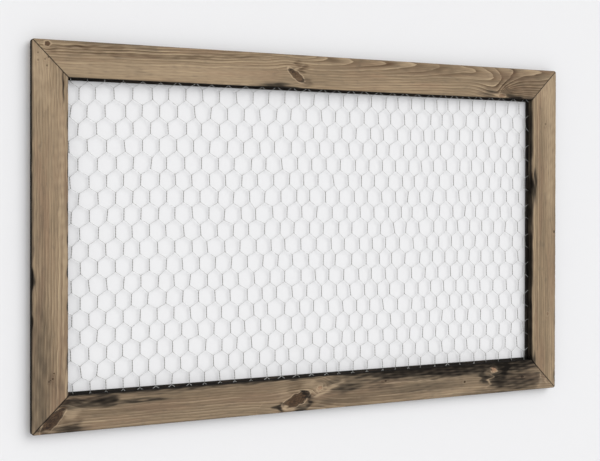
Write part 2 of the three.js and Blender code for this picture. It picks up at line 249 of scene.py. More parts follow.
def add_node(tree, kind, values):
    """Adds a shader node. Each value goes to the property or the socket of its name or
    number. A socket is linked there, and a node stands for its first output in use."""
    made = tree.nodes.new("ShaderNode" + kind)
    for key, value in values.items():
        if isinstance(value, bpy.types.Node):
            value = next(output for output in value.outputs if output.enabled)
        if isinstance(value, bpy.types.NodeSocket):
            tree.links.new(value, made.inputs[key])
        elif isinstance(key, str) and key in made.bl_rna.properties:
            setattr(made, key, value)
        else:
            made.inputs[key].default_value = value
    return made


def new_material(name):
    """A material without nodes, and its tree."""
    material = bpy.data.materials.new(name)
    material.use_nodes = True
    material.node_tree.nodes.clear()
    return material, material.node_tree


def grain_scale(along, across):
    """The scale that gives a pattern a size along X and a size across it, in millimetres."""
    return 1 / (along * MM), 1 / (across * MM), 1 / (across * MM)


# The noises of the wood: their length along and across the grain in millimetres, and their detail
PINE_NOISES = {
    "wobble": (70, 9, 2),
    "fade": (190, 12, 2),
    "fibre": (42, 1.5, 3),  # real fibres are finer, and these are as coarse as the picture can show
    "patch": (170, 24, 2),
    "smoke": (110, 3.4, 4),
    "cloud": (46, 10, 3),
    "blotch": (16, 7, 4),
    "fleck": (7, 1.1, 1),
}


def stained_pine(name, wood, tint):
    """Planed pine with a grey-brown stain. The eye gets growth rings that pale
    slowly up to a thin light line, which bend round brown knots, a fibrous streak,
    cooler and warmer patches, and smoky stain that darkens the edges and is nearly
    black on the sides, where it is partly painted shade."""
    material, tree = new_material(name)
    fields = {}
    for key in ("ring", "bold", "knot_tone", "knot_size", "stain", "resin", "pale"):
        fields[key] = add_node(tree, "Attribute", {"attribute_name": key}).outputs["Fac"]
    for key in ("grain", "knot_at"):
        fields[key] = add_node(tree, "Attribute", {"attribute_name": key}).outputs["Vector"]
    for key, (along, across, detail) in PINE_NOISES.items():
        place = add_node(tree, "Mapping", {"Vector": fields["grain"], "Scale": grain_scale(along, across)})
        settings = {"Scale": 1.0, "Detail": detail, "Roughness": 0.55}
        fields[key] = add_node(tree, "TexNoise", {"Vector": place, **settings})
    lightness, colour = growth_rings(tree, fields, wood)
    colour = patches_and_fibres(tree, fields, colour, tint)
    colour = knot_hearts(tree, fields, colour, wood)
    colour, thick = resin_and_stain(tree, fields, colour, lightness, wood)

    # Raised latewood, fibres and small pits, under a stain that shines least where it is thick
    height = add_node(tree, "Math", {"operation": "SUBTRACT", 0: fields["fibre"], 1: lightness})
    pits = add_node(tree, "Math", {"operation": "MULTIPLY_ADD", 0: fields["fleck"], 1: 0.7, 2: height})
    bump = add_node(tree, "Bump", {"Height": pits, "Strength": 0.5, "Distance": 0.0005})
    spread = {"From Min": 0.3, "From Max": 0.7, "To Min": 0.66, "To Max": 0.86}
    matt = add_node(tree, "MapRange", {"Value": fields["fibre"], **spread})
    gloss = add_node(tree, "MapRange", {"Value": thick, "To Min": 0.3, "To Max": 0.06})
    finish = {"Base Color": colour, "Roughness": matt, "Specular IOR Level": gloss, "Normal": bump}
    add_node(tree, "OutputMaterial", {"Surface": add_node(tree, "BsdfPrincipled", finish)})
    return material


def growth_rings(tree, fields, wood):
    """Each ring starts dark, pales slowly to a thin pale line, and has a strength
    and a shade of its own. Returns how light the wood is, and its colour."""
    ring = {"operation": "MULTIPLY_ADD", 0: fields["wobble"], 1: 0.6, 2: fields["ring"]}
    shifted = add_node(tree, "Math", ring)
    within = add_node(tree, "Math", {"operation": "FRACT", 0: shifted})
    number = add_node(tree, "Math", {"operation": "FLOOR", 0: shifted})
    chance = add_node(tree, "TexWhiteNoise", {"noise_dimensions": "1D", "W": number})
    profile = add_node(tree, "ValToRGB", {"Fac": within})
    greys = profile.color_ramp.elements
    for place, grey in ((0.04, 0.0), (0.2, 0.16), (0.5, 0.46), (0.8, 0.64), (0.93, 1.0)):
        greys.new(place).color = (grey, grey, grey, 1)
    greys[0].color = (0.3, 0.3, 0.3, 1)
    greys[-1].color = (0.9, 0.9, 0.9, 1)
    spread = {"From Min": 0.34, "From Max": 0.66, "To Min": 0.4}
    fade = add_node(tree, "MapRange", {"Value": fields["fade"], **spread})
    own = add_node(tree, "MapRange", {"Value": chance, "To Min": 0.35, "To Max": wood.line_strength})
    partly = add_node(tree, "Math", {"operation": "MULTIPLY", 0: fade, 1: own})
    strength = add_node(tree, "Math", {"operation": "MULTIPLY", 0: partly, 1: fields["bold"]})
    contrast = {"clamp": False, "To Min": 0.54, "To Max": profile}
    lightness = add_node(tree, "MapRange", {"Value": strength, **contrast})
    shade = add_node(tree, "Math", {"operation": "MULTIPLY_ADD", 0: chance, 1: 0.16, 2: -0.08})
    toned = add_node(tree, "Math", {"operation": "ADD", 0: lightness, 1: shade})
    ends = {MIX_A: (*wood.late_colour, 1), MIX_B: (*wood.early_colour, 1)}
    return lightness, add_node(tree, "Mix", {**MIXED, 0: toned, **ends})


def patches_and_fibres(tree, fields, colour, tint):
    """Broad warm and cool patches, then the fibres' streak
    and the board's own tint over all. Returns the colour."""
    for field, low, high, most, other in (
        ("patch", 0.46, 0.7, 0.45, "#9C7F66"),
        ("blotch", 0.5, 0.78, 0.4, "#75695A"),
    ):
        spread = {**SMOOTH, "From Min": low, "From Max": high, "To Max": most}
        amount = add_node(tree, "MapRange", {"Value": fields[field], **spread})
        colour = add_node(tree, "Mix", {**MIXED, 0: amount, MIX_A: colour, MIX_B: linear(other)})
    for field, low, high, darkest, palest in (
        ("fibre", 0.28, 0.72, 0.74, 1.22),
        ("fade", 0.3, 0.7, 0.8, 1.15),
    ):
        spread = {"From Min": low, "From Max": high, "To Min": darkest, "To Max": palest}
        veil = add_node(tree, "MapRange", {"Value": fields[field], **spread})
        colour = add_node(tree, "Mix", {**FILTERED, 0: 1.0, MIX_A: colour, MIX_B: veil})
    return add_node(tree, "Mix", {**FILTERED, 0: 1.0, MIX_A: colour, MIX_B: (*tint, 1)})


def knot_hearts(tree, fields, colour, wood):
    """Pale wood round a heart that has rings and rays of its own,
    with a dark broken line between them. Returns the colour."""
    away = add_node(tree, "VectorMath", {"operation": "LENGTH", 0: fields["knot_at"]})
    rough = add_node(tree, "Math", {"operation": "MULTIPLY_ADD", 0: fields["blotch"], 1: 0.4, 2: away})
    reach = add_node(tree, "Math", {"operation": "SUBTRACT", 0: rough, 1: 0.2})
    outwards = add_node(tree, "VectorMath", {"operation": "NORMALIZE", 0: fields["knot_at"]})
    rays = add_node(tree, "TexNoise", {"Vector": outwards, "Scale": 5.5, "Detail": 3.0, "Roughness": 0.6})
    lengthwise = add_node(tree, "Mapping", {"Vector": fields["knot_at"], "Scale": (1.3, 5.5, 1.0)})
    settings = {"Scale": 1.6, "Detail": 4.0, "Roughness": 0.65}
    streaks = add_node(tree, "TexNoise", {"Vector": lengthwise, **settings})
    figure = add_node(tree, "Mix", {0: 0.55, 2: rays, 3: streaks})

    # The pale rim is measured in millimetres past the heart, and a small knot has hardly any
    past = add_node(tree, "Math", {"operation": "SUBTRACT", 0: reach, 1: 1.0})
    gap = add_node(tree, "Math", {"operation": "MULTIPLY", 0: past, 1: fields["knot_size"]})
    rises = add_node(tree, "MapRange", {**SMOOTH, "Value": gap, "From Max": 0.8})
    spread = {"From Min": 1.5, "From Max": 5.0, "To Max": 0.85}
    most = add_node(tree, "MapRange", {"Value": fields["knot_size"], **spread})
    spread = {**SMOOTH, "From Min": 1.3, "From Max": 3.0, "To Min": most, "To Max": 0.0}
    falls = add_node(tree, "MapRange", {"Value": gap, **spread})
    rim = add_node(tree, "Math", {"operation": "MULTIPLY", 0: rises, 1: falls})
    colour = add_node(tree, "Mix", {**MIXED, 0: rim, MIX_A: colour, MIX_B: linear("#B8A083")})

    turns = add_node(tree, "Math", {"operation": "MULTIPLY", 0: reach, 1: 22.0})
    wave = add_node(tree, "Math", {"operation": "SINE", 0: turns})
    wavy = add_node(tree, "Math", {"operation": "MULTIPLY_ADD", 0: wave, 1: 0.07, 2: figure})
    spread = {"From Min": 0.36, "From Max": 0.66, "To Min": 0.45, "To Max": 1.75}
    shade = add_node(tree, "MapRange", {"Value": wavy, **spread})
    ends = {MIX_A: linear("#9C7C62"), MIX_B: (*wood.knot_colour, 1)}
    plain = add_node(tree, "Mix", {**MIXED, 0: fields["knot_tone"], **ends})
    shaded = add_node(tree, "Mix", {**FILTERED, 0: 1.0, MIX_A: plain, MIX_B: shade})
    spread = {**SMOOTH, "From Min": 0.78, "From Max": 1.05, "To Min": 1.0, "To Max": 0.0}
    heart = add_node(tree, "MapRange", {"Value": reach, **spread})
    colour = add_node(tree, "Mix", {**MIXED, 0: heart, MIX_A: colour, MIX_B: shaded})

    beside = add_node(tree, "Math", {"operation": "SUBTRACT", 0: reach, 1: 0.95})
    near = add_node(tree, "Math", {"operation": "ABSOLUTE", 0: beside})
    spread = {**SMOOTH, "From Max": 0.11, "To Min": 1.0, "To Max": 0.0}
    crack = add_node(tree, "MapRange", {"Value": near, **spread})
    broken = add_node(tree, "MapRange", {"Value": rays, "From Min": 0.4, "From Max": 0.6})
    cracked = add_node(tree, "Math", {"operation": "MULTIPLY", 0: crack, 1: broken})
    dark = add_node(tree, "Math", {"operation": "MULTIPLY", 0: cracked, 1: fields["knot_tone"]})
    return add_node(tree, "Mix", {**MIXED, 0: dark, MIX_A: colour, MIX_B: (*wood.stain_colour, 1)})


def resin_and_stain(tree, fields, colour, lightness, wood):
    """Brown resin streaks, pale bruises, then smoky stain, which soaks into dark wood most: a thin
    one greys the wood, and a thick one hides it. Returns the colour, and how thick the stain is."""
    smoky = add_node(tree, "Math", {"operation": "ADD", 0: fields["smoke"], 1: fields["cloud"]})
    thirsty = add_node(tree, "Math", {"operation": "MULTIPLY_ADD", 0: lightness, 1: -0.7, 2: smoky})
    spread = {"From Min": 0.2, "From Max": 1.0, "To Min": 0.84, "To Max": 1.18}
    uneven = add_node(tree, "MapRange", {"Value": thirsty, **spread})
    # The stain field also carries the painted shade on the boards' sides
    soaked = add_node(tree, "Math", {"operation": "MULTIPLY", 0: uneven, 1: fields["stain"]})
    thin = add_node(tree, "MapRange", {"Value": soaked, "From Max": 0.9})
    spread = {**SMOOTH, "From Min": 0.3, "From Max": 1.5, "To Max": 0.97}
    thick = add_node(tree, "MapRange", {"Value": soaked, **spread})
    for way, amount, other in (
        (FILTERED, fields["resin"], linear("#938478")),
        (MIXED, fields["pale"], linear("#BDA688")),
        (FILTERED, thin, linear("#9DA0A5")),
        (MIXED, thick, (*wood.stain_colour, 1)),
    ):
        colour = add_node(tree, "Mix", {**way, 0: amount, MIX_A: colour, MIX_B: other})
    return colour, thick


def black_stained_batten(name, along_x):
    """Thin softwood batten with a black stain. The eye gets a nearly
    black, matt stick with grey-brown streaks where the stain is thin."""
    material, tree = new_material(name)
    place = add_node(tree, "TexCoord", {}).outputs["Object"]
    turn = 0.0 if along_x else math.pi / 2
    lengthwise = add_node(tree, "Mapping", {"Vector": place, "Rotation": (0, turn, 0)})
    noises = {}
    for key, along, across in (("streak", 60, 1.4), ("wear", 25, 5)):
        stretched = add_node(tree, "Mapping", {"Vector": lengthwise, "Scale": grain_scale(along, across)})
        settings = {"Scale": 1.0, "Detail": 3.0, "Roughness": 0.55}
        noises[key] = add_node(tree, "TexNoise", {"Vector": stretched, **settings})
    worn = add_node(tree, "Math", {"operation": "MULTIPLY", 0: noises["streak"], 1: noises["wear"]})
    amount = add_node(tree, "MapRange", {"Value": worn, "From Min": 0.18, "From Max": 0.5, "To Max": 0.8})
    ends = {MIX_A: linear("#151210"), MIX_B: linear("#4A4037")}
    colour = add_node(tree, "Mix", {**MIXED, 0: amount, **ends})
    bump = add_node(tree, "Bump", {"Height": noises["streak"], "Strength": 0.5, "Distance": 0.0004})
    finish = {"Base Color": colour, "Roughness": 0.8, "Specular IOR Level": 0.25, "Normal": bump}
    add_node(tree, "OutputMaterial", {"Surface": add_node(tree, "BsdfPrincipled", finish)})
    return material


# Each metal's name, its coating's colour and tarnish, its roughness and the size of its grain in
# millimetres
METALS = {
    "netting": ("Galvanised wire, drawn and twisted", "#D8D9D8", "#ABA9A4", 0.45, 6.0),
    "staples": ("Bright staple wire, drawn", "#B9B7B2", "#7E7B76", 0.34, 4.0),
    "screws": ("Screw steel, zinc plated", "#A9A79C", "#6F6C60", 0.36, 3.0),
    "nails": ("Nail steel, sheared strip", "#8C8A85", "#5C564D", 0.45, 2.0),
    "hangers": ("Hanger steel, nickel plated", "#C4C0B8", "#938E84", 0.26, 5.0),
}


def coated_metal(name, base, tarnish, roughness, grain_size, twist_shade_field=None):
    """Steel under zinc or nickel: a metal in its coating's colour. The eye gets a soft
    gleam, clouded by duller and darker patches of the coating's grain, whose size is in
    millimetres. A twist shade field is an attribute that says where painted shade darkens
    the metal: in the netting's twists, where the wound strands shade each other."""
    material, tree = new_material(name)
    place = add_node(tree, "TexCoord", {}).outputs["Object"]
    noises = []
    for size in (grain_size, grain_size / 6):
        settings = {"Scale": 1 / (size * MM), "Detail": 3.0}
        noises.append(add_node(tree, "TexNoise", {"Vector": place, **settings}))
    cloud, speck = noises
    amount = add_node(tree, "MapRange", {"Value": cloud, "From Min": 0.4, "From Max": 0.7, "To Max": 0.8})
    colour = add_node(tree, "Mix", {**MIXED, 0: amount, MIX_A: linear(base), MIX_B: linear(tarnish)})
    if twist_shade_field:
        # Painted shade: the colour is darkened where the field says, as in the netting's twists
        twist_shade = add_node(tree, "Attribute", {"attribute_name": twist_shade_field}).outputs["Fac"]
        colour = add_node(tree, "Mix", {**FILTERED, 0: twist_shade, MIX_A: colour, MIX_B: linear("#CFCECC")})
    spread = {"From Min": 0.3, "From Max": 0.7, "To Min": roughness * 0.8, "To Max": roughness * 1.35}
    dull = add_node(tree, "MapRange", {"Value": speck, **spread})
    bump = add_node(tree, "Bump", {"Height": speck, "Strength": 0.3, "Distance": 0.0001})
    finish = {"Base Color": colour, "Metallic": 1.0, "Roughness": dull, "Normal": bump}
    add_node(tree, "OutputMaterial", {"Surface": add_node(tree, "BsdfPrincipled", finish)})
    return material


def moulded_rubber(name):
    """Moulded black rubber. The eye gets a matt charcoal disc with a faint speckle and paler dust."""
    material, tree = new_material(name)
    place = add_node(tree, "TexCoord", {}).outputs["Object"]
    dust = add_node(tree, "TexNoise", {"Vector": place, "Scale": 1 / (3 * MM), "Detail": 4.0})
    speck = add_node(tree, "TexNoise", {"Vector": place, "Scale": 1 / (0.4 * MM), "Detail": 2.0})
    amount = add_node(tree, "MapRange", {"Value": dust, "From Min": 0.45, "From Max": 0.75, "To Max": 0.6})
    ends = {MIX_A: linear("#232426"), MIX_B: linear("#4A4946")}
    colour = add_node(tree, "Mix", {**MIXED, 0: amount, **ends})
    dull = add_node(tree, "MapRange", {"Value": dust, "To Min": 0.6, "To Max": 0.85})
    bump = add_node(tree, "Bump", {"Height": speck, "Strength": 0.35, "Distance": 0.0001})
    finish = {"Base Color": colour, "Roughness": dull, "Specular IOR Level": 0.35, "Normal": bump}
    add_node(tree, "OutputMaterial", {"Surface": add_node(tree, "BsdfPrincipled", finish)})
    return material


def matt_paint(name, colour, one_sided):
    """Matt wall paint. The eye gets an even, nearly white ground that only shows the shadows.
    A one-sided one is clear from behind, and clear to light that doesn't reach the eye."""
    material, tree = new_material(name)
    surface = add_node(tree, "BsdfDiffuse", {"Color": (*colour, 1)})
    if one_sided:
        path = add_node(tree, "LightPath", {})
        seen = path.outputs["Is Camera Ray"]
        for ray in ("Is Glossy Ray", "Is Transmission Ray"):
            seen = add_node(tree, "Math", {"operation": "MAXIMUM", 0: seen, 1: path.outputs[ray]})
        behind = add_node(tree, "NewGeometry", {}).outputs["Backfacing"]
        shown = add_node(tree, "Math", {"operation": "SUBTRACT", "use_clamp": True, 0: seen, 1: behind})
        clear = add_node(tree, "BsdfTransparent", {})
        surface = add_node(tree, "MixShader", {0: shown, 1: clear, 2: surface})
    add_node(tree, "OutputMaterial", {"Surface": surface})
    return material


# Boards

# Each board is described in its own millimetres: u runs along it, with X on a rail and with Z on a stile,
# and s runs from its outer edge to its inner edge. Tint is a linear colour over all, and sides is how dark
# the outer and the inner side are. Pith and depth place the tree's heart, as places along u and values
# there: its s, and how far behind the front face it is. Rings numbers the growth ring on the line s =
# REFERENCE in the same way. The arches are the (u, s) of the tips where rings turn back, each one ring
# later than the last. A knot is (u, s, radii, turn in degrees, darkness, how far it parts the grain, rings
# that run into it). Bold is how strong the rings' lines are. A mark in bold_marks, stains, resins, bruises
# or slits is (u, s, radii, strength), and some end with a turn in degrees. A negative strength takes away,
# so that the wood stays clean there or its lines faint. A mark in wane is (u, s, reach along the edge,
# extra rounding).
REFERENCE = 36.0
FIRST_ARCH = 16.7  # the ring number at the first arch's tip
# How dark each board's sides are is partly a dark stain and partly painted shade
BOARDS = {
    "top_rail": {
        "tint": (0.80, 0.775, 0.765),
        "sides": (2.4, 2.2),
        "pith": [
            (0, 60, 400, 450, 510, 560, 700, 800, 850, 872, 900, 950, 1000),
            (-14, -14, -16, -10, 3, 5, 5, 7, 13, 15, 13, 10, 8),
        ],
        "depth": [(0, 420, 520, 600, 700, 800, 870, 950, 1000), (8, 8, 9, 13, 17, 22, 28, 33, 34)],
        "rings": [(0, 60, 200, 300, 400), (19.98, 19.98, 20.63, 21.38, 22.08)],
        "arches": [
            (508, 3.5), (557, 4), (622, 5), (682, 5), (733, 5), (805, 8), (853, 19), (866, 26), (897, 14),
            (954, 10),
        ],
        "knots": [
            (23.5, 6.5, (4.3, 3.6), 0, 0.85, 0.8, 0),
            (447.5, 35, (17.5, 6.3), 36, 0.9, 0.35, 0),
            (873.6, 52, (7, 3.5), 0, 0.3, 0.1, 10.0),
        ],
        "bold": 1.0,
        "bold_marks": [
            (905, 30, (90, 50), 1.2), (893, 34, (42, 26), 2.2), (640, 12, (230, 18), 0.6),
            (190, 12, (200, 11), 0.6), (240, 46, (260, 16), -0.5),
        ],
        "stains": [
            (408, 56, (38, 8.4), 0.9), (440, 27, (4.5, 3), 0.6), (459.5, 43, (5, 3.5), 0.7, 45),
            (470, 46, (9, 9), 0.22), (884, 42, (9, 12), 0.35), (906, 54, (24, 7), 0.85),
            (935, 54, (14, 4.5), 0.5), (843, 47, (18, 8), 0.6), (110, 1, (60, 3), 0.3),
            (180, 4.5, (26, 4.5), 0.35), (168, 42, (8, 10), 0.16), (945, 30, (40, 22), 0.15),
            (972, 14, (24, 10), 0.3), (700, 24, (90, 3), 0.12),
        ],
        "resins": [
            (75, 8, (34, 2.4), 0.85, -3), (128, 6.6, (26, 2.8), 0.6, -3), (100, 12, (60, 2.5), 0.5, -2),
            (130, 17, (95, 2.4), 0.5), (270, 13.5, (70, 2.6), 0.45, -4), (350, 8, (50, 2.6), 0.5, -4),
            (459, 23, (10, 6), 0.65, -35), (449, 15, (9, 5), 0.6, -50), (470, 46, (10, 8), 0.35),
            (886, 38, (20, 19), 0.4), (915, 34, (58, 30), 0.4), (760, 12, (60, 10), 0.3),
            (640, 12, (60, 8), 0.25), (580, 10, (60, 8), 0.25), (700, 12, (60, 9), 0.3),
            (32, 16, (12, 7), 0.45), (300, 4, (120, 5), 0.15),
        ],
        "bruises": [
            (120, 45, (160, 12), 0.22), (240, 40, (180, 14), 0.28), (600, 44, (90, 8), 0.1),
            (866, 52, (10, 4), 0.5), (330, 32, (90, 10), 0.2), (75, 12.5, (40, 1.4), 0.25),
            (446, 24.5, (4, 3), 0.5), (340, 55.5, (40, 1.2), 0.6), (76, 37, (20, 5), 0.3),
        ],
        "wane": [(905, 56, 30, 1.2)],
        "slits": [],
    },
    "bottom_rail": {
        "tint": (0.69, 0.67, 0.675),
        "sides": (2.2, 1.1),
        "pith": [(0, 200, 500, 800, 1000), (-20, -14, -6, -16, -24)],
        "depth": [(0, 300, 620, 1000), (14, 6, 12, 5)],
        "rings": [(0, 330, 560, 800, 1000), (20, 20.6, 21.6, 21.2, 22.4)],
        "arches": [],
        "knots": [
            (31, 19, (25, 8.5), 45, 0.8, 0.5, 0),
            (449, 19.5, (26, 10), 22, 0.95, 0.5, 0),
            (493, 36, (5, 3.5), 30, 0.1, 0.9, 3.0),
            (857, 44, (6.5, 6), 0, 0.12, 0.8, 0),
            (792, 25.5, (2.4, 2.0), 0, 1.0, 0.5, 0),
            (624, 39, (2.4, 1.5), 0, 0.9, 0.5, 0),
            (922, 26, (4, 2.2), 0, 0.8, 0.4, 0),
        ],
        "bold": 0.85,
        "bold_marks": [(480, 30, (60, 30), 0.5), (620, 30, (90, 20), 0.5)],
        "stains": [
            (96, 44, (40, 10), 0.8), (116, 45, (24, 11), 1.0), (31, 19, (27, 9), 0.55, 45),
            (449, 19, (26, 10), 0.22, 22), (150, 41, (34, 4), 0.6), (180, 40, (44, 3.4), 0.9),
            (200, 49.5, (60, 3), 0.5), (260, 55.5, (240, 3), 0.85), (300, 52.5, (130, 2.8), 0.5),
            (430, 55.5, (70, 2.5), 0.65), (60, 44, (20, 11), 0.7), (66, 50, (18, 5), 0.75),
            (58, 4, (28, 9), 0.85), (20, 5, (20, 6), 0.45), (417, 9, (6, 8.5), 0.95),
            (466, 29, (8, 4.5), 0.9, -30), (471, 22, (4.5, 8), 0.85), (458, 4, (16, 5), 0.9, 12),
            (474, 13, (9, 5), 0.8, 35), (500, 8, (30, 5), 0.35, 10), (548, 32, (38, 9), 0.8, 4),
            (520, 46, (20, 6), 0.55, 12), (612, 30, (36, 8), 0.5), (600, 55, (80, 7), 0.9),
            (620, 43, (50, 7), 0.55), (762, 56, (176, 21), 1.2), (570, 45, (80, 11), 0.4),
            (640, 48, (50, 8), 0.8), (830, 35, (11, 14), 0.95), (868, 26, (24, 21), 1.0),
            (883, 43, (15, 13), 1.6), (910, 52, (60, 17), 1.12), (915, 20, (60, 21), 0.75),
            (860, 4, (80, 6), 0.45), (690, 20, (90, 10), 0.42), (740, 27, (90, 7), 0.35),
            (250, 30, (240, 20), 0.12), (560, 14, (60, 12), 0.18), (690, 8, (60, 6), 0.15),
            (841, 28, (10, 10), 0.95), (857, 44, (7.2, 7.6), -1.05), (850, 26, (15, 1.7), -0.95, 58),
        ],
        "resins": [
            (48, 42, (13, 8), 0.9, 35), (30, 19, (32, 15), 0.35, 45), (62, 14, (16, 12), 0.4),
            (445, 40, (15, 11), 0.4, 15), (475, 16, (12, 8), 0.5), (545, 13, (60, 10), 0.3),
            (624, 39, (6, 3), 0.7), (922, 26, (8, 3), 0.6), (113, 26, (60, 6), 0.25),
            (900, 20, (60, 22), 0.3), (300, 40, (140, 8), 0.2), (8, 6, (8, 6), 0.3), (417, 9, (7, 9), 0.5),
            (640, 12, (60, 8), 0.12),
        ],
        "bruises": [
            (970, 21.5, (20, 2), 0.6, -42), (966, 13, (6, 7), 0.45), (700, 34.6, (110, 1.3), 0.6),
            (740, 32, (80, 1), 0.3), (851, 24, (15, 2.0), 0.6, 58), (610, 44, (14, 1.3), 0.5),
            (30, 3.6, (16, 1.8), 0.6), (60, 30, (9, 10), 0.4, 30), (512, 34, (37, 3.4), 0.6, 25),
            (490, 36, (10, 8), 0.35), (478, 46, (12, 5), 0.35), (428, 8, (3.5, 5.5), 0.6),
            (598, 45, (19, 1.1), 0.6), (740, 9, (70, 6), 0.25), (857, 38, (5, 3), 0.4),
            (425, 30, (10, 12), 0.2),
        ],
        "wane": [(112, 56, 26, 2.0), (740, 56, 90, 1.0), (890, 56, 50, 2.0)],
        "slits": [],
    },
    "left_stile": {
        "tint": (0.80, 0.775, 0.775),
        "sides": (2.5, 1.2),
        "pith": [(0, 150, 330, 600), (64, 58, 54, 62)],
        "depth": [(0, 200, 420, 600), (20, 13, 7, 5)],
        "rings": [(0, 300, 600), (20, 20.8, 20.2)],
        "arches": [],
        "knots": [
            (579, 9.3, (1.5, 1.5), 0, 1.0, 0.3, 0), (568, 9.3, (1.7, 1.7), 0, 1.0, 0.3, 0),
            (573, 25, (1.7, 1.6), 0, 1.0, 0.3, 0), (570, 20, (1.6, 1.5), 0, 1.0, 0.3, 0),
            (560, 23, (1.6, 1.6), 0, 1.0, 0.3, 0), (84, 32, (1.8, 1.6), 0, 0.9, 0.3, 0),
            (92, 34, (1.4, 1.3), 0, 0.9, 0.3, 0), (80, 26, (1.4, 1.3), 0, 0.8, 0.3, 0),
        ],
        "bold": 0.9,
        "bold_marks": [(170, 44, (160, 14), 0.6)],
        "stains": [
            (235, 0, (16, 4), 1.3), (166, 0, (16, 3.5), 1.2), (530, 48.4, (26, 1.6), 0.9),
            (300, 1, (260, 2), 0.4), (95, 14, (150, 18), 0.48), (70, 38, (24, 10), 0.25),
            (345, 56, (12, 2), 0.8), (60, 6, (36, 9), 0.3), (300, 10, (60, 8), 0.2),
            (20, 10, (16, 10), 0.3), (300, 56, (290, 1.4), 0.9), (210, 16, (110, 14), 0.15),
        ],
        "resins": [
            (530, 48.4, (31, 2.6), 0.8), (84, 32, (12, 7), 0.3), (565, 20, (12, 12), 0.15),
            (100, 30, (90, 20), 0.1),
        ],
        "bruises": [
            (400, 46, (140, 5), 0.4), (270, 50, (70, 3), 0.4), (165, 49, (26, 2), 0.5),
            (100, 50, (40, 4), 0.3), (560, 12, (34, 16), 0.4), (512, 20, (14, 18), 0.3),
            (430, 34, (90, 12), 0.2), (200, 40, (120, 8), 0.15),
        ],
        "wane": [(235, 0, 16, 1.4), (166, 0, 16, 1.2)],
        "slits": [(530, 48.4, (25, 1.3), 0.9)],
    },
    "right_stile": {
        "tint": (0.82, 0.795, 0.785),
        "sides": (1.6, 0.4),
        "pith": [(0, 260, 430, 600), (96, 104, 92, 98)],
        "depth": [(0, 300, 600), (12, 16, 10)],
        "rings": [(0, 300, 600), (20, 20.5, 21.2)],
        "arches": [],
        "knots": [
            (499, 25, (2.4, 1.8), 0, 1.0, 0.4, 0), (141, 18.5, (3.0, 2.0), 0, 0.5, 0.4, 0),
            (296, 4, (3.0, 1.6), 0, 1.0, 0.3, 0),
        ],
        "bold": 0.9,
        "bold_marks": [(450, 40, (120, 20), 0.5)],
        "stains": [
            (382, 51, (32, 6), 0.95), (345, 54, (40, 3), 0.7), (52, 53, (15, 7), 1.1),
            (200, 56, (240, 2.2), 0.7), (470, 55.5, (60, 2), 0.5), (330, 30, (60, 8), 0.12),
            (20, 2, (16, 4), 0.6), (180, 1, (200, 1.6), 0.3), (420, 40, (90, 10), 0.15),
            (450, 20, (70, 12), 0.12), (190, 40, (120, 16), 0.12),
        ],
        "resins": [(382, 48, (36, 9), 0.2), (499, 25, (8, 4), 0.3), (230, 30, (200, 24), 0.08)],
        "bruises": [
            (250, 51, (240, 1.4), 0.5), (520, 14, (90, 14), 0.4), (560, 20, (40, 16), 0.4),
            (430, 14, (110, 12), 0.35), (190, 12, (140, 8), 0.12),
        ],
        "wane": [(382, 56, 30, 1.8), (52, 56, 16, 1.4)],
        "slits": [],
    },
}


def strongest(u, s, marks):
    """Soft oval marks, the strongest of which shows: each is its strength times e to minus
    the fourth power of the distance in radii, and together they make the cube root of the
    sum of their cubes. One whose strength is negative takes away from the others."""
    total = np.zeros_like(u)
    for at_u, at_s, radii, strength, *turn in marks:
        total = total + (strength * np.exp(-(oval(u, s, (at_u, at_s), radii, *turn) ** 4))) ** 3
    return np.cbrt(total)


def rings_from_heart(spec, u, s, bent, d):
    """Rings between a place and the line s = REFERENCE: the difference of their
    distances from the tree's heart over the ring spacing. Where rings run into a knot,
    the square of the angle round the knot is added, as a share of a half turn."""
    pith, depth = glide(u, *spec["pith"]), glide(u, *spec["depth"])
    away = np.hypot(bent - pith, depth + d) - np.hypot(REFERENCE - pith, depth)
    rings = away / (bpy.context.scene.frame_wood.ring_spacing / MM)
    for at_u, at_s, _, _, _, _, fan in spec["knots"]:
        rings = rings + fan * (np.arctan2(u - at_u, np.abs(at_s - s) + 1.5) / np.pi + 0.5) ** 2
    return rings


def reference_rings(spec):
    """Places along a board and the ring numbers there on the line s = REFERENCE."""
    places, numbers = spec["rings"]
    if not spec["arches"]:
        return places, numbers
    u, s = np.array(spec["arches"], float).T
    at_tips = FIRST_ARCH + np.arange(len(u)) - rings_from_heart(spec, u, s, s, 0.0)
    return np.append(places, u), np.append(numbers, at_tips)


def board_fields(spec, u, s, d, seed):
    """The wood at each place of a board. Near a knot, s is drawn towards the knot's middle, so that
    the rings part round it. knot_at is the place within the nearest knot, in its own radii."""
    bent = s + 0.8 * wander(u, 260, seed) + 0.35 * wander(u + 2 * s, 70, seed + 1)
    knot = np.full(u.shape, 3.0)  # three radii stand for no knot
    knot_at = np.stack([knot, 0 * u, 0 * u], -1)
    tone = np.zeros_like(u)
    size = np.ones_like(u)
    for at_u, at_s, radii, turn, dark, part, _ in spec["knots"]:
        wide = oval(u, s, (at_u, at_s), (radii[0] * 2.3, radii[1] * 2.6), turn)
        bent = bent - (s - at_s) * part * np.exp(-(wide**2))
        along, across = turned(u, s, (at_u, at_s), turn)
        wavy = 1 + 0.08 * np.sin(5 * np.arctan2(across, along) + at_u)
        place = np.stack([along / radii[0], across / radii[1], 0 * u], -1) * wavy[..., None]
        away = np.linalg.norm(place, axis=-1)
        nearer = away < knot
        tone = np.where(nearer, dark, tone)
        size = np.where(nearer, math.sqrt(radii[0] * radii[1]), size)
        knot_at = np.where(nearer[..., None], place, knot_at)
        knot = np.minimum(knot, away)
    ring = drift(u, *reference_rings(spec)) + rings_from_heart(spec, u, s, bent, d)
    bold = spec["bold"] + strongest(u, s, spec["bold_marks"])
    return {
        "ring": ring,
        "knot": knot,
        "knot_at": knot_at,
        "knot_tone": tone,
        "knot_size": size,
        "bold": bold,
    }


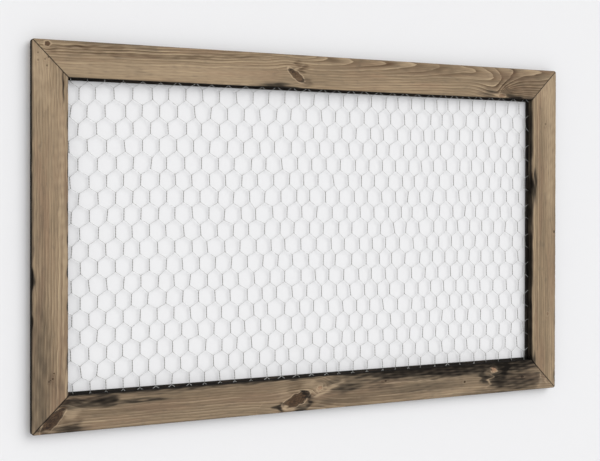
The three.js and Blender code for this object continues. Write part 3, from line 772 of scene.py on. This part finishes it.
def edge_radius(spec, u, edge, seed):
    """The rounding of a board's front edge, which wanders and is larger where the edge is worn."""
    least = 1.42  # the sinking of the front ends within it
    radius = bpy.context.scene.frame_wood.edge_radius / MM
    radius = radius * (1.25 + 0.2 * wander(u, 55, seed) + 0.12 * wander(u, 9, seed + 1))
    for at_u, at_s, reach, extra in spec["wane"]:
        if abs(at_s - edge) < 1:
            radius = radius + extra * np.exp(-(((u - at_u) / reach) ** 2))
    return np.maximum(radius, least)


def board_grid(spec, length, half, seed):
    """A board as its section carried along it. The section is a rectangle with rounded front
    edges and chamfered back edges, and it runs once round from the outer front edge. Along
    the board, u is a share of the half length less s, which slants both ends to the mitre,
    and the corner's tip is drawn in a little. Returns u, s and the depth behind the front."""
    width, thick = BOARD_WIDTH, BOARD_THICKNESS
    chamfer, step, tip_reach, tip_drawn = 0.5, 1.45, 4, 1.1
    near = np.array([0, 0.12, 0.3, 0.55, 0.85, 1.3]) / half
    middle = np.linspace(-1, 1, int(length / step))[2:-2]
    share = np.concatenate([-1 + near, middle, 1 - near[::-1]])[:, None]
    u0 = share * half + length / 2
    outer, inner = edge_radius(spec, u0, 0, seed + 10), edge_radius(spec, u0, width, seed + 20)
    quarter = np.radians(np.linspace(0, 90, 6))[None, :]
    across = np.linspace(0, 1, 62)[None, :]
    turn = quarter[:, 1:]
    side = np.linspace(0, 1, 8)[None, 1:]
    back = np.linspace(0, 1, 18)[None, :]
    flat = np.ones_like(u0)
    s = [
        outer + (width - inner - outer) * across,
        width - inner + inner * np.sin(turn),
        width * flat * np.ones_like(side),
        flat * (width - chamfer + (2 * chamfer - width) * back),
        flat * 0 * side,
        outer * (1 - np.cos(quarter[:, :-1])),
    ]
    d = [
        flat * 0 * across,
        inner * (1 - np.cos(turn)),
        inner + (thick - chamfer - inner) * side,
        flat * thick * np.ones_like(back),
        thick - chamfer + (outer - thick + chamfer) * np.concatenate([[[0.0]], side[:, :-1]], 1),
        outer * (1 - np.sin(quarter[:, :-1])),
    ]
    s, d = np.concatenate(s, 1), np.concatenate(d, 1)
    tip = np.clip(1 - (1 - np.abs(share)) * half / tip_reach, 0, 1)
    s = s + tip_drawn * tip**2 * (1 - s / width)
    return share * (half - s) + length / 2, s, d


def mark_fields(spec, u, s, d, mitre, seed):
    """The marks on the wood, with outlines that wander: resin, pale bruises
    and stain, which is also along the mitre and along both edges. The sides
    get a dark stain of a strength set for each side, which is partly painted
    shade: near black on the top rail's underside and the left stile's outer
    side, and lighter on the bottom rail's and the right stile's inner sides.
    Grain is each point's place in the board's own piece of wood."""
    width, thick = BOARD_WIDTH, BOARD_THICKNESS
    marked = u + 5 * patches(u, s, 44, 11, seed + 61), s + 1.3 * patches(u, s, 44, 11, seed + 62)
    stain = strongest(*marked, spec["stains"]) * (1 - 0.3 * ramp(d, 1, 6))
    stain = stain * (1 + 0.16 * patches(u, s, 34, 7, seed + 30))
    sides = ramp(d, 1.0, 3.0) * (1 - ramp(d, thick - 0.6, thick - 0.4))
    # Painted shade and dark stain on the sides: each side is darkened by its own amount, most on the top
    # rail's underside and the left stile's outer side
    stain = stain + sides * np.where(s < width / 2, *spec["sides"])
    for away, reach, strength in (
        (mitre, 0.7, 0.9),
        (s, 1.2, 0.3),
        (width - s, 1.2, 0.35),
    ):
        stain = stain + strength * np.exp(-((away / reach) ** 2))
    resin = strongest(*marked, spec["resins"]) * (1 + 0.3 * patches(u, s, 26, 5, seed + 35))
    pale = strongest(*marked, spec["bruises"]) * (1 + 0.3 * patches(u, s, 24, 6, seed + 40))
    grain = np.stack([u * MM + seed * 0.37, s * MM + seed * 0.11, d * MM], -1)
    return {
        "stain": np.clip(stain, 0, 2.5),
        "resin": np.clip(resin, 0, 1),
        "pale": np.clip(pale, 0, 0.8),
        "grain": grain,
    }


def relief(spec, u, s, d, mitre, knot, seed):
    """How far the surface moves back: the front sinks by shallow waves, slits, a groove round each knot
    and a quarter round along the mitre, and the back sinks inwards by a dent round each corner nail."""
    wave, groove, rounding, dent_depth, dent_reach = 0.09, 0.22, 0.6, 0.42, 7.5
    edge = np.minimum(s, BOARD_WIDTH - s)
    sink = wave * (1 + patches(u, s, 90, 24, seed + 50)) * ramp(edge, 1.5, 5)
    sink = sink + strongest(u, s, spec["slits"]) + groove * np.exp(-(((knot - 1) / 0.14) ** 2))
    eased = np.clip(rounding - mitre, 0, rounding)
    sink = sink + rounding - np.sqrt(rounding**2 - eased**2)
    dents = [np.exp(-((np.hypot(mitre, 1.4 * (s - inset)) / dent_reach) ** 4)) for inset in NAIL_INSETS]
    back = ramp(d, BOARD_THICKNESS - 0.1, BOARD_THICKNESS)
    return (1 - ramp(d, 0.0, 1.2)) * np.maximum(sink, 0) - dent_depth * sum(dents) * back


def board_points(name, u, s, d):
    """Places on a board as X, Y and Z: rails run along X and
    stiles along Z, and s runs inwards from the edge."""
    y = FRONT + d
    if name == "top_rail":
        return np.stack([OUTER_LOW[0] + u, y, OUTER_HIGH[2] - s], -1)
    if name == "bottom_rail":
        return np.stack([OUTER_LOW[0] + u, y, OUTER_LOW[2] + s], -1)
    if name == "left_stile":
        return np.stack([OUTER_LOW[0] + s, y, OUTER_LOW[2] + u], -1)
    return np.stack([OUTER_HIGH[0] - s, y, OUTER_LOW[2] + u], -1)


def make_board(name, seed):
    """One mitred board with its wood fields stored on its points."""
    spec = BOARDS[name]
    length = FRAME_WIDTH if name.endswith("rail") else FRAME_HEIGHT
    low, high = node_box(name)
    half = float(high[0] - low[0] if name.endswith("rail") else high[2] - low[2]) / 2
    u, s, d = board_grid(spec, length, half, seed)
    mitre = np.maximum((half - s - np.abs(u - length / 2)) / math.sqrt(2), 0)
    fields = board_fields(spec, u, s, d, seed) | mark_fields(spec, u, s, d, mitre, seed)
    d = d + relief(spec, u, s, d, mitre, fields.pop("knot"), seed)
    points, faces = close_ends(board_points(name, u, s, d))
    stored = {}
    for key, values in fields.items():
        flat = values.reshape(u.size, -1)
        ends = [values[end].reshape(u.shape[1], -1).mean(0) for end in (0, -1)]
        joined = np.concatenate([flat, np.stack(ends)])
        stored[key] = joined if values.ndim == 3 else joined[:, 0]
    return make_mesh(name + "_wood", points, faces, stored, sharp=60)


# Netting

NETTING_MARGIN = 6.5  # from the side of the CAD's netting to the scene's selvage wire
TURN_STEPS = 6  # points on a wire in each turn of a twist


def twist_places(net, middle, half_width):
    """The twists stand on whole columns in even rows and on half columns in odd rows,
    with the wobble of bent wire. The sheet was pulled unevenly when it was pinned:
    the columns' middles lean, most halfway across, and the rows dip steeply near the
    left side. Returns each twist's X and Z, and how far its upper end leans."""
    random = np.random.default_rng(RANDOM_SEED)
    wobble, top = net.wobble / MM, net.first_row / MM
    row = np.arange(net.rows)[:, None]
    column = np.arange(net.columns + 1)[None, :] + 0.5 * (row % 2)
    spread = column / net.columns + net.crowding * np.sin(np.pi * column / net.columns)
    inside = ((column > 0) & (column < net.columns)).astype(float)
    x = middle[0] + half_width * (2 * spread - 1) + inside * random.normal(0, wobble, column.shape)
    x = x + inside * 1.1 * wander(column * 0.7 + row * 0.31, 3.0, 71)
    lean = inside * random.normal(0, 0.5, column.shape)
    z = middle[2] + top - net.row_pitch / MM * row
    z = z + inside * random.normal(0, wobble * 0.7, column.shape)
    z = z + inside * wander(column, 9.0, 72)
    across, up = (x - middle[0]) / half_width, (z - middle[2]) / top
    free = 1 - across**8
    leaned = net.lean / MM * up * (1 - 1.3 * across**2)
    x = x + free * (leaned - net.left_pull / MM - net.gather / MM * across**3)
    x = x + free * net.right_lean / MM * across * up
    z = z - net.sink / MM - net.left_dip / MM * ((1 - across) / 2) ** 8 + net.bow / MM * up**2
    z = z + net.tilt / MM * across * (up - 0.5)
    return x, z, lean


def hem(end_x, to_right, side, middle, half_width, column_width, radius):
    """The last three points of each wire, from its end inwards. It bends over
    sideways under the staples' crowns, and back from a selvage that is near."""
    reach, bend, start, inwards, near = 24, 2.5, 1.5, 1.5, 5
    way = np.where(to_right, 1.0, -1.0)
    peak = end_x + way * column_width
    outside = np.abs(peak - middle[0]) > half_width - near
    along = np.where(outside, -np.sign(peak - middle[0]), way)
    crown = sum(node_box(f"{side}_staple_1"))[2] / 2
    x = np.stack([peak + reach * along, peak + bend * along, peak - start * way], -1)
    x = np.clip(x, middle[0] - half_width + 1, middle[0] + half_width - 1)
    y = middle[1] + radius * way[:, None] + 0 * x
    z = crown + np.array([0, 0, inwards if side == "bottom" else -inwards]) + 0 * x
    return np.stack([x, y, z], -1)


def netting_paths(net, middle, half_width):
    """Wires that zigzag downwards. Rows of twists stand on whole and half columns by
    turns, and each wire visits the twist at its left and the one at its right by turns.
    In a twist it runs round the twist's axis: x is the axis plus the radius times the
    cosine of an angle and y the sine, while z falls. Returns an array of paths."""
    radius = net.wire_diameter / MM / 2
    half_twist = net.twist_share * net.row_pitch / MM / 2
    places = twist_places(net, middle, half_width)
    row, wire = np.arange(net.rows)[:, None], np.arange(2 * net.columns)
    odd_row = row % 2 == 1
    visit = np.where(odd_row, wire // 2, (wire + 1) // 2)
    from_right = np.where(odd_row, wire % 2 == 1, wire % 2 == 0)
    x, z, lean = (values[row, visit][..., None] for values in places)
    along = np.linspace(0, 1, TURN_STEPS * net.turns + 1)
    angle = np.where(from_right, 0.0, np.pi)[..., None] + 2 * np.pi * net.turns * along
    round_x = x + lean * (1 - 2 * along) + radius * np.cos(angle)
    round_y = middle[1] + radius * np.sin(angle)
    twist = np.stack([round_x, round_y, z + half_twist * (1 - 2 * along)], -1)

    # Each slanting run has a point in its middle, and one near each end that softens the bend at the twist
    slant = (twist[:-1, :, -1] + twist[1:, :, 0]) / 2
    drop = np.array([0, 0, 0.35])
    after = twist[:-1, :, -1] * 0.85 + slant * 0.15 - drop
    before = twist[1:, :, 0] * 0.85 + slant * 0.15 + drop
    soft = np.stack([after, slant, before], 2)

    sheet = (middle, half_width, half_width / net.columns, radius)
    parts = [hem(twist[0, :, 0, 0], from_right[0], "top", *sheet)]
    for i in range(net.rows - 1):
        parts += [twist[i], soft[i]]
    parts += [twist[-1], hem(twist[-1, :, -1, 0], from_right[-1], "bottom", *sheet)[:, ::-1]]
    return np.concatenate(parts, 1)


def wire_mesh(paths, twist, radius):
    """One mesh of six-sided wires along paths, with the share of twist at each point of a path."""
    sides = 6
    surface = carried(paths, radius, sides, (0, 1, 0))
    count = len(surface)
    faces = close_ends(surface[0])[1]
    ends = [surface[:, end].mean(1, keepdims=True) for end in (0, -1)]
    points = np.concatenate([surface.reshape(count, -1, 3), *ends], 1)
    offsets = (np.arange(count) * points.shape[1])[:, None, None]
    faces = [(f[None] + offsets).reshape(-1, f.shape[1]) for f in faces]
    stored = np.tile(np.concatenate([np.repeat(twist, sides), twist[:1], twist[-1:]]), count)
    return make_mesh("netting_wires", points.reshape(-1, 3), faces, {"twist": stored}, sharp=120)


def make_netting(net):
    """The zigzag wires, and a straight selvage wire down each
    side, as the left and the right half of the sheet."""
    low, high = node_box("wire_netting")
    middle = (low + high) / 2
    half_width = (high[0] - low[0]) / 2 - NETTING_MARGIN
    radius = net.wire_diameter / MM / 2
    paths = netting_paths(net, middle, half_width)
    limit_low, limit_high = low[2] + radius, high[2] - radius
    paths[..., 2] = np.clip(paths[..., 2], limit_low, limit_high)
    z = np.linspace(limit_high, limit_low, paths.shape[1])
    edges = []
    for side in (-1, 1):
        x = middle[0] + side * (half_width + radius * 0.4)
        edges.append(np.stack([x + 0 * z, middle[1] + 0 * z, z], -1))
    paths = np.concatenate([paths, np.stack(edges)])
    half = len(paths) // 2
    # The share of twist at each point, which the material turns into painted shade on the twists
    inner = np.repeat([[1.0, 0.0]], net.rows, 0)
    twist = np.concatenate([np.zeros(3), np.repeat(inner, [TURN_STEPS * net.turns + 1, 3], 1).ravel()])
    return {"left": wire_mesh(paths[:half], twist, radius), "right": wire_mesh(paths[half:], twist, radius)}


# Fasteners, hangers and pads


def cross_recess(x, z, turn, reach, half_slot, deep):
    """The depth of a cross-shaped driver recess: full within half a
    slot of either arm's line and inside its reach, with soft walls."""
    cosine, sine = math.cos(turn), math.sin(turn)
    first, second = np.abs(x * cosine + z * sine), np.abs(z * cosine - x * sine)
    arms = []
    for along, across in ((first, second), (second, first)):
        slot = 1 - ramp(across, half_slot * 0.7, half_slot * 1.3)
        arms.append((1 - ramp(along, reach * 0.7, reach)) * slot)
    return deep * np.maximum(arms[0], arms[1])


def screw_grid(profile, top_rows, turn, reach):
    """A screw turned from its profile, tip first, whose last
    rows are the head's top with a cross recess in it."""
    half_slot, deep = 0.34, 0.75
    grid = turned_grid(profile, 48)
    top = grid[-top_rows:]
    top[..., 1] -= cross_recess(top[..., 0], top[..., 2], turn, reach, half_slot, deep)
    return grid


def countersunk_profile(length, shank, head, cone, rim):
    """Tip, shank, cone, a slightly rounded rim and a flat head whose radius falls to nothing."""
    rows = [(0.02, -length), (shank * 0.55, -length + 1.2), (shank, -length + 2.6), (shank, -cone)]
    rows += [(head - 0.12, -rim), (head, -rim + 0.06), (head - 0.03, -0.05), (head - 0.12, 0)]
    flat = [(r, 0) for r in np.linspace(head - 0.3, 0.02, 15)]
    return rows + flat, len(flat)


def pan_profile(length, shank, head, tall):
    """Tip, shank, flat underside, a straight edge and a domed
    top: the height falls with the square of the radius."""
    rows = [(0.02, -length), (shank * 0.55, -length + 1.0), (shank, -length + 2.1), (shank, 0)]
    rows += [(head - 0.1, 0), (head, 0.1), (head, tall * 0.36)]
    radii = np.linspace(head - 0.08, 0.02, 17)
    dome = [(r, tall * 0.4 + tall * 0.6 * (1 - (r / head) ** 2)) for r in radii]
    return rows + dome, len(dome)


def staple_path(low, high, wire, bend):
    """A leg, a quarter bend, the crown, a quarter bend and a leg, from
    the staple's own box. Its longer side across Y is the crown's line."""
    crown_axis = 0 if high[0] - low[0] > high[2] - low[2] else 2
    half = (high[crown_axis] - low[crown_axis] - wire) / 2
    front, back = low[1], high[1] - wire / 2
    quarter = np.radians(np.linspace(0, 90, 6))
    leg = np.linspace(front, back - bend, 5)[:-1]
    rising = np.stack([-half + bend - bend * np.cos(quarter), back - bend + bend * np.sin(quarter)], -1)
    start = np.stack([np.full_like(leg, -half), leg], -1)
    one = np.concatenate([start, rising])
    flat = np.stack([np.linspace(-half + bend, half - bend, 7)[1:-1], np.full(5, back)], -1)
    line = np.concatenate([one, flat, one[::-1] * (-1, 1)])
    middle = (low + high) / 2
    path = np.repeat(middle[None], len(line), 0)
    path[:, crown_axis] += line[:, 0]
    path[:, 1] = line[:, 1]
    return path, (0, 0, 1) if crown_axis == 0 else (1, 0, 0)


def ring_path(low, high, radius, corner):
    """A closed line from the ring's own box: a straight bar at the
    top, small round corners, two legs, and a half circle below."""
    half = (high[0] - low[0]) / 2 - radius
    top, bottom = high[2] - radius, low[2] + radius
    middle = (low + high) / 2
    quarter = np.radians(np.linspace(0, 90, 8))
    bow = np.radians(np.linspace(0, -180, 40))
    centre = bottom + half
    bar = np.linspace(0, half - corner, 6)[:-1]
    right = [
        np.stack([bar, np.full_like(bar, top)], -1),
        np.stack([half - corner + corner * np.sin(quarter), top - corner + corner * np.cos(quarter)], -1),
        np.stack([np.full(3, half), np.linspace(top - corner, centre, 5)[1:-1]], -1),
        np.stack([half * np.cos(bow), centre + half * np.sin(bow)], -1),
    ]
    left = [part[::-1] * (-1, 1) for part in right[2::-1]]
    left[-1] = left[-1][:-1]
    line = np.concatenate(right + left)
    return np.stack([middle[0] + line[:, 0], np.full(len(line), middle[1]), line[:, 1]], -1)


def pad_profile(radius, tall, rounding):
    """A disc with a small round edge at the boards and a
    larger one at the wall, and a shallow dish in its face."""
    quarter = np.radians(np.linspace(0, 90, 8))
    rows = [(r, 0.0) for r in np.linspace(0.02, radius - 0.4, 4)]
    rows += [(radius - 0.3 + 0.3 * math.sin(a), 0.3 - 0.3 * math.cos(a)) for a in quarter]
    flat, height = radius - rounding, tall - rounding
    rows += [(flat + rounding * math.cos(a), height + rounding * math.sin(a)) for a in quarter]
    dish = 0.35
    face = np.linspace(flat - 0.1, 0.02, 10)
    rows += [(r, tall - dish * float(ramp(flat - r, 0.2, 2.2))) for r in face]
    return rows


# Settings


def length_of(name, description, default):
    """A length setting."""
    words = {"name": name, "description": description}
    return FloatProperty(**words, default=default, min=0.0, unit="LENGTH", precision=5)


def share_of(name, description, default):
    """A plain number from 0 to 1."""
    return FloatProperty(name=name, description=description, default=default, min=0.0, max=1.0)


def colour_of(name, description, default):
    """A colour setting, from an sRGB hex colour."""
    words = {"name": name, "description": description}
    plain = linear(default)[:3]
    return FloatVectorProperty(**words, default=plain, subtype="COLOR", size=3, min=0.0, max=1.0)


class FrameWood(bpy.types.PropertyGroup):
    """The boards' shape and finish."""

    ring_spacing: length_of("Ring spacing", "Width of one growth ring", 0.0044)
    edge_radius: length_of("Edge radius", "About the least rounding of the front edges", 0.0014)
    line_strength: share_of("Line strength", "How dark the latewood lines are at most", 1.0)
    early_colour: colour_of("Earlywood", "Colour of the palest lines", "#D2BC9A")
    late_colour: colour_of("Latewood", "Colour of the darkest lines", "#6A543C")
    stain_colour: colour_of("Thick stain", "Colour where the stain is thickest", "#14110E")
    knot_colour: colour_of("Knot", "Colour of a dark knot", "#45321F")


class FrameNetting(bpy.types.PropertyGroup):
    """The hexagonal wire netting."""

    wire_diameter: length_of("Wire diameter", "Diameter of the netting's wire", 0.00084)
    row_pitch: length_of("Row pitch", "Height from one row of twists to the next", 0.02706)
    first_row: length_of("First row", "Height of the top row of twists over the middle", 0.2551)
    wobble: length_of("Wobble", "How far a twist strays from its even place", 0.0009)
    columns: IntProperty(name="Columns", description="Mesh openings side by side", default=33, min=2)
    rows: IntProperty(name="Rows", description="Rows of twists", default=20, min=2)
    turns: IntProperty(name="Turns", description="Full turns in each twist", default=2, min=1)
    twist_share: share_of("Twist share", "Part of a row's pitch that its twist fills", 0.635)
    crowding: share_of("Crowding", "How far the columns crowd to the right, as a share of the width", 0.012)
    lean: length_of("Lean", "How far the middle columns stray, right at the top and left below", 0.011)
    right_lean: length_of("Right lean", "How much further the columns of the right half lean", 0.0034)
    left_pull: length_of("Left pull", "How far the middle is pulled to the left", 0.0042)
    gather: length_of("Gather", "How far the outer columns are drawn to the middle", 0.0055)
    sink: length_of("Sink", "How far the rows sit below their even height", 0.0038)
    left_dip: length_of("Left dip", "How far the rows dip at the left side", 0.009)
    bow: length_of("Bow", "How much wider the rows stand at the top and bottom", 0.0032)
    tilt: length_of("Tilt", "How far the upper rows rise towards the right", 0.0023)


class FrameHardware(bpy.types.PropertyGroup):
    """The fasteners, the hangers and the wall pads."""

    staple_wire: length_of("Staple wire", "Diameter of the staples' wire", 0.00116)
    staple_bend: length_of("Staple bend", "Bend radius of a staple's shoulders", 0.0014)
    ring_corner: length_of("Ring corner", "Bend radius of a ring's upper corners", 0.0026)
    pad_rounding: length_of("Pad rounding", "Round edge of a pad at the wall", 0.0009)
    recess_share: share_of("Recess", "Reach of a driver recess as a share of the head's radius", 0.62)


class FrameStage(bpy.types.PropertyGroup):
    """The camera, the light and the room."""

    camera_place: FloatVectorProperty(
        name="Camera place",
        description="The camera's place",
        default=(-0.96075, -1.7917, -0.14389),
        unit="LENGTH",
        size=3,
    )
    camera_turns: FloatVectorProperty(
        name="Camera turns",
        description="The camera's turn about the upright axis, its tilt and its roll",
        default=(math.radians(27.4623), math.radians(-0.438), math.radians(0.1115)),
        unit="ROTATION",
        size=3,
    )
    focal_widths: FloatProperty(
        name="Focal length", description="Focal length in picture widths", default=1.97636
    )
    shift: FloatVectorProperty(
        name="Shift", description="The lens's shift", default=(-0.00611, -0.04467), size=2
    )
    key_strength: FloatProperty(
        name="Key light", description="Strength of the key light", default=1.5, min=0.0
    )
    key_angle: FloatProperty(
        name="Key softness", description="Apparent size of the key light", default=0.9, subtype="ANGLE"
    )
    sky_strength: FloatProperty(
        name="Room light", description="Brightness of the room for lighting", default=0.58
    )
    wall_colour: colour_of("Wall", "Colour of the wall and the floor", "#F0F0F1")


# Operators


def names_like(word):
    """The CAD nodes whose names hold a word, in order of name."""
    return [name for name in sorted(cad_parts) if word in name]


def dress(nodes, material):
    """Gives CAD nodes that stay in sight a material."""
    for name in nodes:
        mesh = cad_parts[name].data
        mesh.materials.clear()
        mesh.materials.append(material)


def soften(piece, width):
    """Rounds an object's edges by a bevel that is the same in every view. Its width is in millimetres."""
    bevel = piece.modifiers.new("rounded edges", "BEVEL")
    bevel.width = width * MM
    bevel.segments = 2
    bevel.limit_method = "ANGLE"


def place_turned(name, grid, base, material):
    """Closes a turned surface and makes it the piece for the CAD node of its name. It
    stands in the middle of the node, and base is where its height of 0 lies on Y."""
    low, high = node_box(name)
    middle = (low + high) / 2
    points, faces = close_ends(grid + np.array([middle[0], base, middle[2]]))
    mesh = make_mesh(name + "_turned", points, faces, sharp=35)
    place_piece(name + "_turned", mesh, material, [name], "frame")


class FRAME_OT_boards(bpy.types.Operator):
    """Builds the four mitred boards"""

    bl_idname = "picture_frame.boards"
    bl_label = "Boards"

    def execute(self, context):
        wood = context.scene.frame_wood
        for number, (name, spec) in enumerate(BOARDS.items()):
            material = stained_pine("Stained pine, " + name.replace("_", " "), wood, spec["tint"])
            mesh = make_board(name, 100 * number)
            place_piece(name + "_wood", mesh, material, [name], "frame")
        return {"FINISHED"}


class FRAME_OT_netting(bpy.types.Operator):
    """Builds the hexagonal wire netting"""

    bl_idname = "picture_frame.netting"
    bl_label = "Wire netting"

    def execute(self, context):
        # The netting's twists get painted shade from the twist attribute
        material = coated_metal(*METALS["netting"], twist_shade_field="twist")
        for part, mesh in make_netting(context.scene.frame_netting).items():
            place_piece("netting_" + part, mesh, material, ["wire_netting"], "frame")
        return {"FINISHED"}


class FRAME_OT_strips(bpy.types.Operator):
    """Dresses the black strips and rounds their edges"""

    bl_idname = "picture_frame.strips"
    bl_label = "Back strips"

    def execute(self, context):
        rounding = 0.35
        for way, sides in (("level", ("top", "bottom")), ("upright", ("left", "right"))):
            material = black_stained_batten("Black-stained batten, " + way, along_x=way == "level")
            for side in sides:
                name = side + "_back_strip"
                dress([name], material)
                soften(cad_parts[name], rounding)
        return {"FINISHED"}


class FRAME_OT_fasteners(bpy.types.Operator):
    """Builds the staples and the screws, and dresses the corner nails"""

    bl_idname = "picture_frame.fasteners"
    bl_label = "Fasteners"

    def execute(self, context):
        hardware = context.scene.frame_hardware
        random = np.random.default_rng(RANDOM_SEED)
        steel = coated_metal(*METALS["staples"])
        wire = hardware.staple_wire / MM
        for name in names_like("staple"):
            path, up = staple_path(*node_box(name), wire, hardware.staple_bend / MM)
            points, faces = close_ends(carried(path[None], wire / 2, 12, up)[0])
            mesh = make_mesh(name + "_wire", points, faces, sharp=60)
            place_piece(name + "_wire", mesh, steel, [name], "frame")
        zinc = coated_metal(*METALS["screws"])
        for name in names_like("strip_screw"):
            low, high = node_box(name)
            head = (high[0] - low[0]) / 2
            sizes = {"shank": head * 0.48, "head": head, "cone": head * 0.62, "rim": 0.3}
            profile, top_rows = countersunk_profile(high[1] - low[1], **sizes)
            turn = random.uniform(0, math.pi)
            grid = screw_grid(profile, top_rows, turn, head * hardware.recess_share)
            place_turned(name, grid, high[1], zinc)
        dress(names_like("corner_nail"), coated_metal(*METALS["nails"]))
        return {"FINISHED"}


class FRAME_OT_hangers(bpy.types.Operator):
    """Builds the hanger rings, their screws and the wall pads, and dresses the straps"""

    bl_idname = "picture_frame.hangers"
    bl_label = "Hangers and pads"

    def execute(self, context):
        hardware = context.scene.frame_hardware
        plate = coated_metal(*METALS["hangers"])
        rubber = moulded_rubber("Rubber, moulded")
        tall = 1.35  # the pan head's height
        for side, turn in (("left", 0.4), ("right", 1.1)):
            name = side + "_hanger_ring"
            low, high = node_box(name)
            radius = (high[1] - low[1]) / 2
            path = ring_path(low, high, radius, hardware.ring_corner / MM)
            tube = carried(path[None], radius, 20, (0, 1, 0), closed=True)[0]
            faces = [grid_faces(*tube.shape[:2], True, True)]
            mesh = make_mesh(name + "_wire", tube.reshape(-1, 3), faces, sharp=60)
            place_piece(name + "_wire", mesh, plate, [name], side + "_ring")

            name = side + "_hanger_screw"
            low, high = node_box(name)
            head = (high[0] - low[0]) / 2
            profile, top_rows = pan_profile(high[1] - low[1] - tall, head * 0.45, head, tall)
            grid = screw_grid(profile, top_rows, turn, head * hardware.recess_share)
            place_turned(name, grid, high[1] - tall, plate)

            name = side + "_wall_pad"
            low, high = node_box(name)
            radius = (high[0] - low[0]) / 2
            profile = pad_profile(radius, high[1] - low[1], hardware.pad_rounding / MM)
            place_turned(name, turned_grid(profile, 48), low[1], rubber)
        dress(names_like("hanger_strap"), plate)
        return {"FINISHED"}


def plain_board(name, corners, material):
    """A stage object: one four-cornered face."""
    mesh = bpy.data.meshes.new(name)
    mesh.from_pydata(corners, [], [(0, 1, 2, 3)])
    mesh.materials.append(material)
    board = bpy.data.objects.new(name, mesh)
    bpy.context.scene.collection.objects.link(board)


def add_sun(name, strength, angle, towards):
    """A distant light that comes from a direction."""
    light = bpy.data.lights.new(name, "SUN")
    light.energy = strength
    light.angle = angle
    sun = bpy.data.objects.new(name, light)
    sun.rotation_euler = Vector(towards).to_track_quat("Z", "Y").to_euler()
    bpy.context.scene.collection.objects.link(sun)


def light_room(scene, strength):
    """A white room that lights everything evenly, and looks brighter than the light it gives."""
    looks = 0.87
    world = bpy.data.worlds.new("room")
    world.use_nodes = True
    scene.world = world
    tree = world.node_tree
    tree.nodes.clear()
    path = add_node(tree, "LightPath", {})
    rays = {0: path.outputs["Is Camera Ray"], 1: path.outputs["Is Glossy Ray"]}
    seen = add_node(tree, "Math", {"operation": "MAXIMUM", **rays})
    level = add_node(tree, "MapRange", {"Value": seen, "To Min": strength, "To Max": looks})
    sky = add_node(tree, "Background", {"Color": (1, 1, 1, 1), "Strength": level})
    add_node(tree, "OutputWorld", {"Surface": sky})


def set_camera(scene, stage):
    """The camera, turned about the upright axis, then tilted, then rolled."""
    camera = bpy.data.cameras.new("camera")
    camera.sensor_width = 36.0
    camera.lens = stage.focal_widths * camera.sensor_width
    camera.shift_x, camera.shift_y = stage.shift
    eye = bpy.data.objects.new("camera", camera)
    yaw, tilt, roll = stage.camera_turns
    eye.matrix_world = (
        Matrix.Translation(stage.camera_place)
        @ Matrix.Rotation(-yaw, 4, "Z")
        @ Matrix.Rotation(math.pi / 2 + tilt, 4, "X")
        @ Matrix.Rotation(roll, 4, "Z")
    )
    scene.collection.objects.link(eye)
    scene.camera = eye


class FRAME_OT_stage(bpy.types.Operator):
    """Sets up the wall, the floor, the light and the camera"""

    bl_idname = "picture_frame.stage"
    bl_label = "Stage"

    def execute(self, context):
        stage = context.scene.frame_stage
        wall_paint = matt_paint("Wall paint, rolled", stage.wall_colour, True)
        floor_paint = matt_paint("Floor paint, rolled", stage.wall_colour, False)
        wall, floor = 0.0003, -1.25  # in metres, with the wall a hair behind the pads
        side, top, reach = 6, 4, 30
        upright = [(-side, wall, floor), (side, wall, floor), (side, wall, top), (-side, wall, top)]
        level = [(x * reach, y * reach, floor) for x, y in ((-1, -1), (1, -1), (1, 1), (-1, 1))]
        plain_board("wall", upright, wall_paint)
        plain_board("floor", level, floor_paint)
        add_sun("key", stage.key_strength, stage.key_angle, (0.5, -1.0, 0.58))
        light_room(context.scene, stage.sky_strength)
        set_camera(context.scene, stage)
        context.scene.view_settings.view_transform = "Standard"
        return {"FINISHED"}


class FRAME_PT_panel(bpy.types.Panel):
    """Lists the settings and the steps"""

    bl_label = "Picture Frame"
    bl_idname = "FRAME_PT_panel"
    bl_space_type = "VIEW_3D"
    bl_region_type = "UI"
    bl_category = "Picture Frame"

    def draw(self, context):
        for key in GROUPS:
            group = getattr(context.scene, key)
            box = self.layout.box()
            box.label(text=key.replace("_", " ").capitalize())
            for field in group.__annotations__:
                box.prop(group, field)
        for operator in OPERATORS:
            self.layout.operator(operator.bl_idname)


GROUPS = {
    "frame_wood": FrameWood,
    "frame_netting": FrameNetting,
    "frame_hardware": FrameHardware,
    "frame_stage": FrameStage,
}
OPERATORS = [
    FRAME_OT_boards,
    FRAME_OT_netting,
    FRAME_OT_strips,
    FRAME_OT_fasteners,
    FRAME_OT_hangers,
    FRAME_OT_stage,
]


def register():
    """Registers the classes and hangs the settings on the scene."""
    for kind in [*GROUPS.values(), *OPERATORS, FRAME_PT_panel]:
        bpy.utils.register_class(kind)
    for key, group in GROUPS.items():
        setattr(bpy.types.Scene, key, PointerProperty(type=group))


def unregister():
    """Takes the settings off the scene and the classes out."""
    for key in GROUPS:
        delattr(bpy.types.Scene, key)
    for kind in reversed([*GROUPS.values(), *OPERATORS, FRAME_PT_panel]):
        bpy.utils.unregister_class(kind)


def main():
    """Runs every step in order."""
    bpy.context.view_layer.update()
    register()
    for step in (
        bpy.ops.picture_frame.boards,
        bpy.ops.picture_frame.netting,
        bpy.ops.picture_frame.strips,
        bpy.ops.picture_frame.fasteners,
        bpy.ops.picture_frame.hangers,
        bpy.ops.picture_frame.stage,
    ):
        step()


if __name__ == "__main__":
    main()
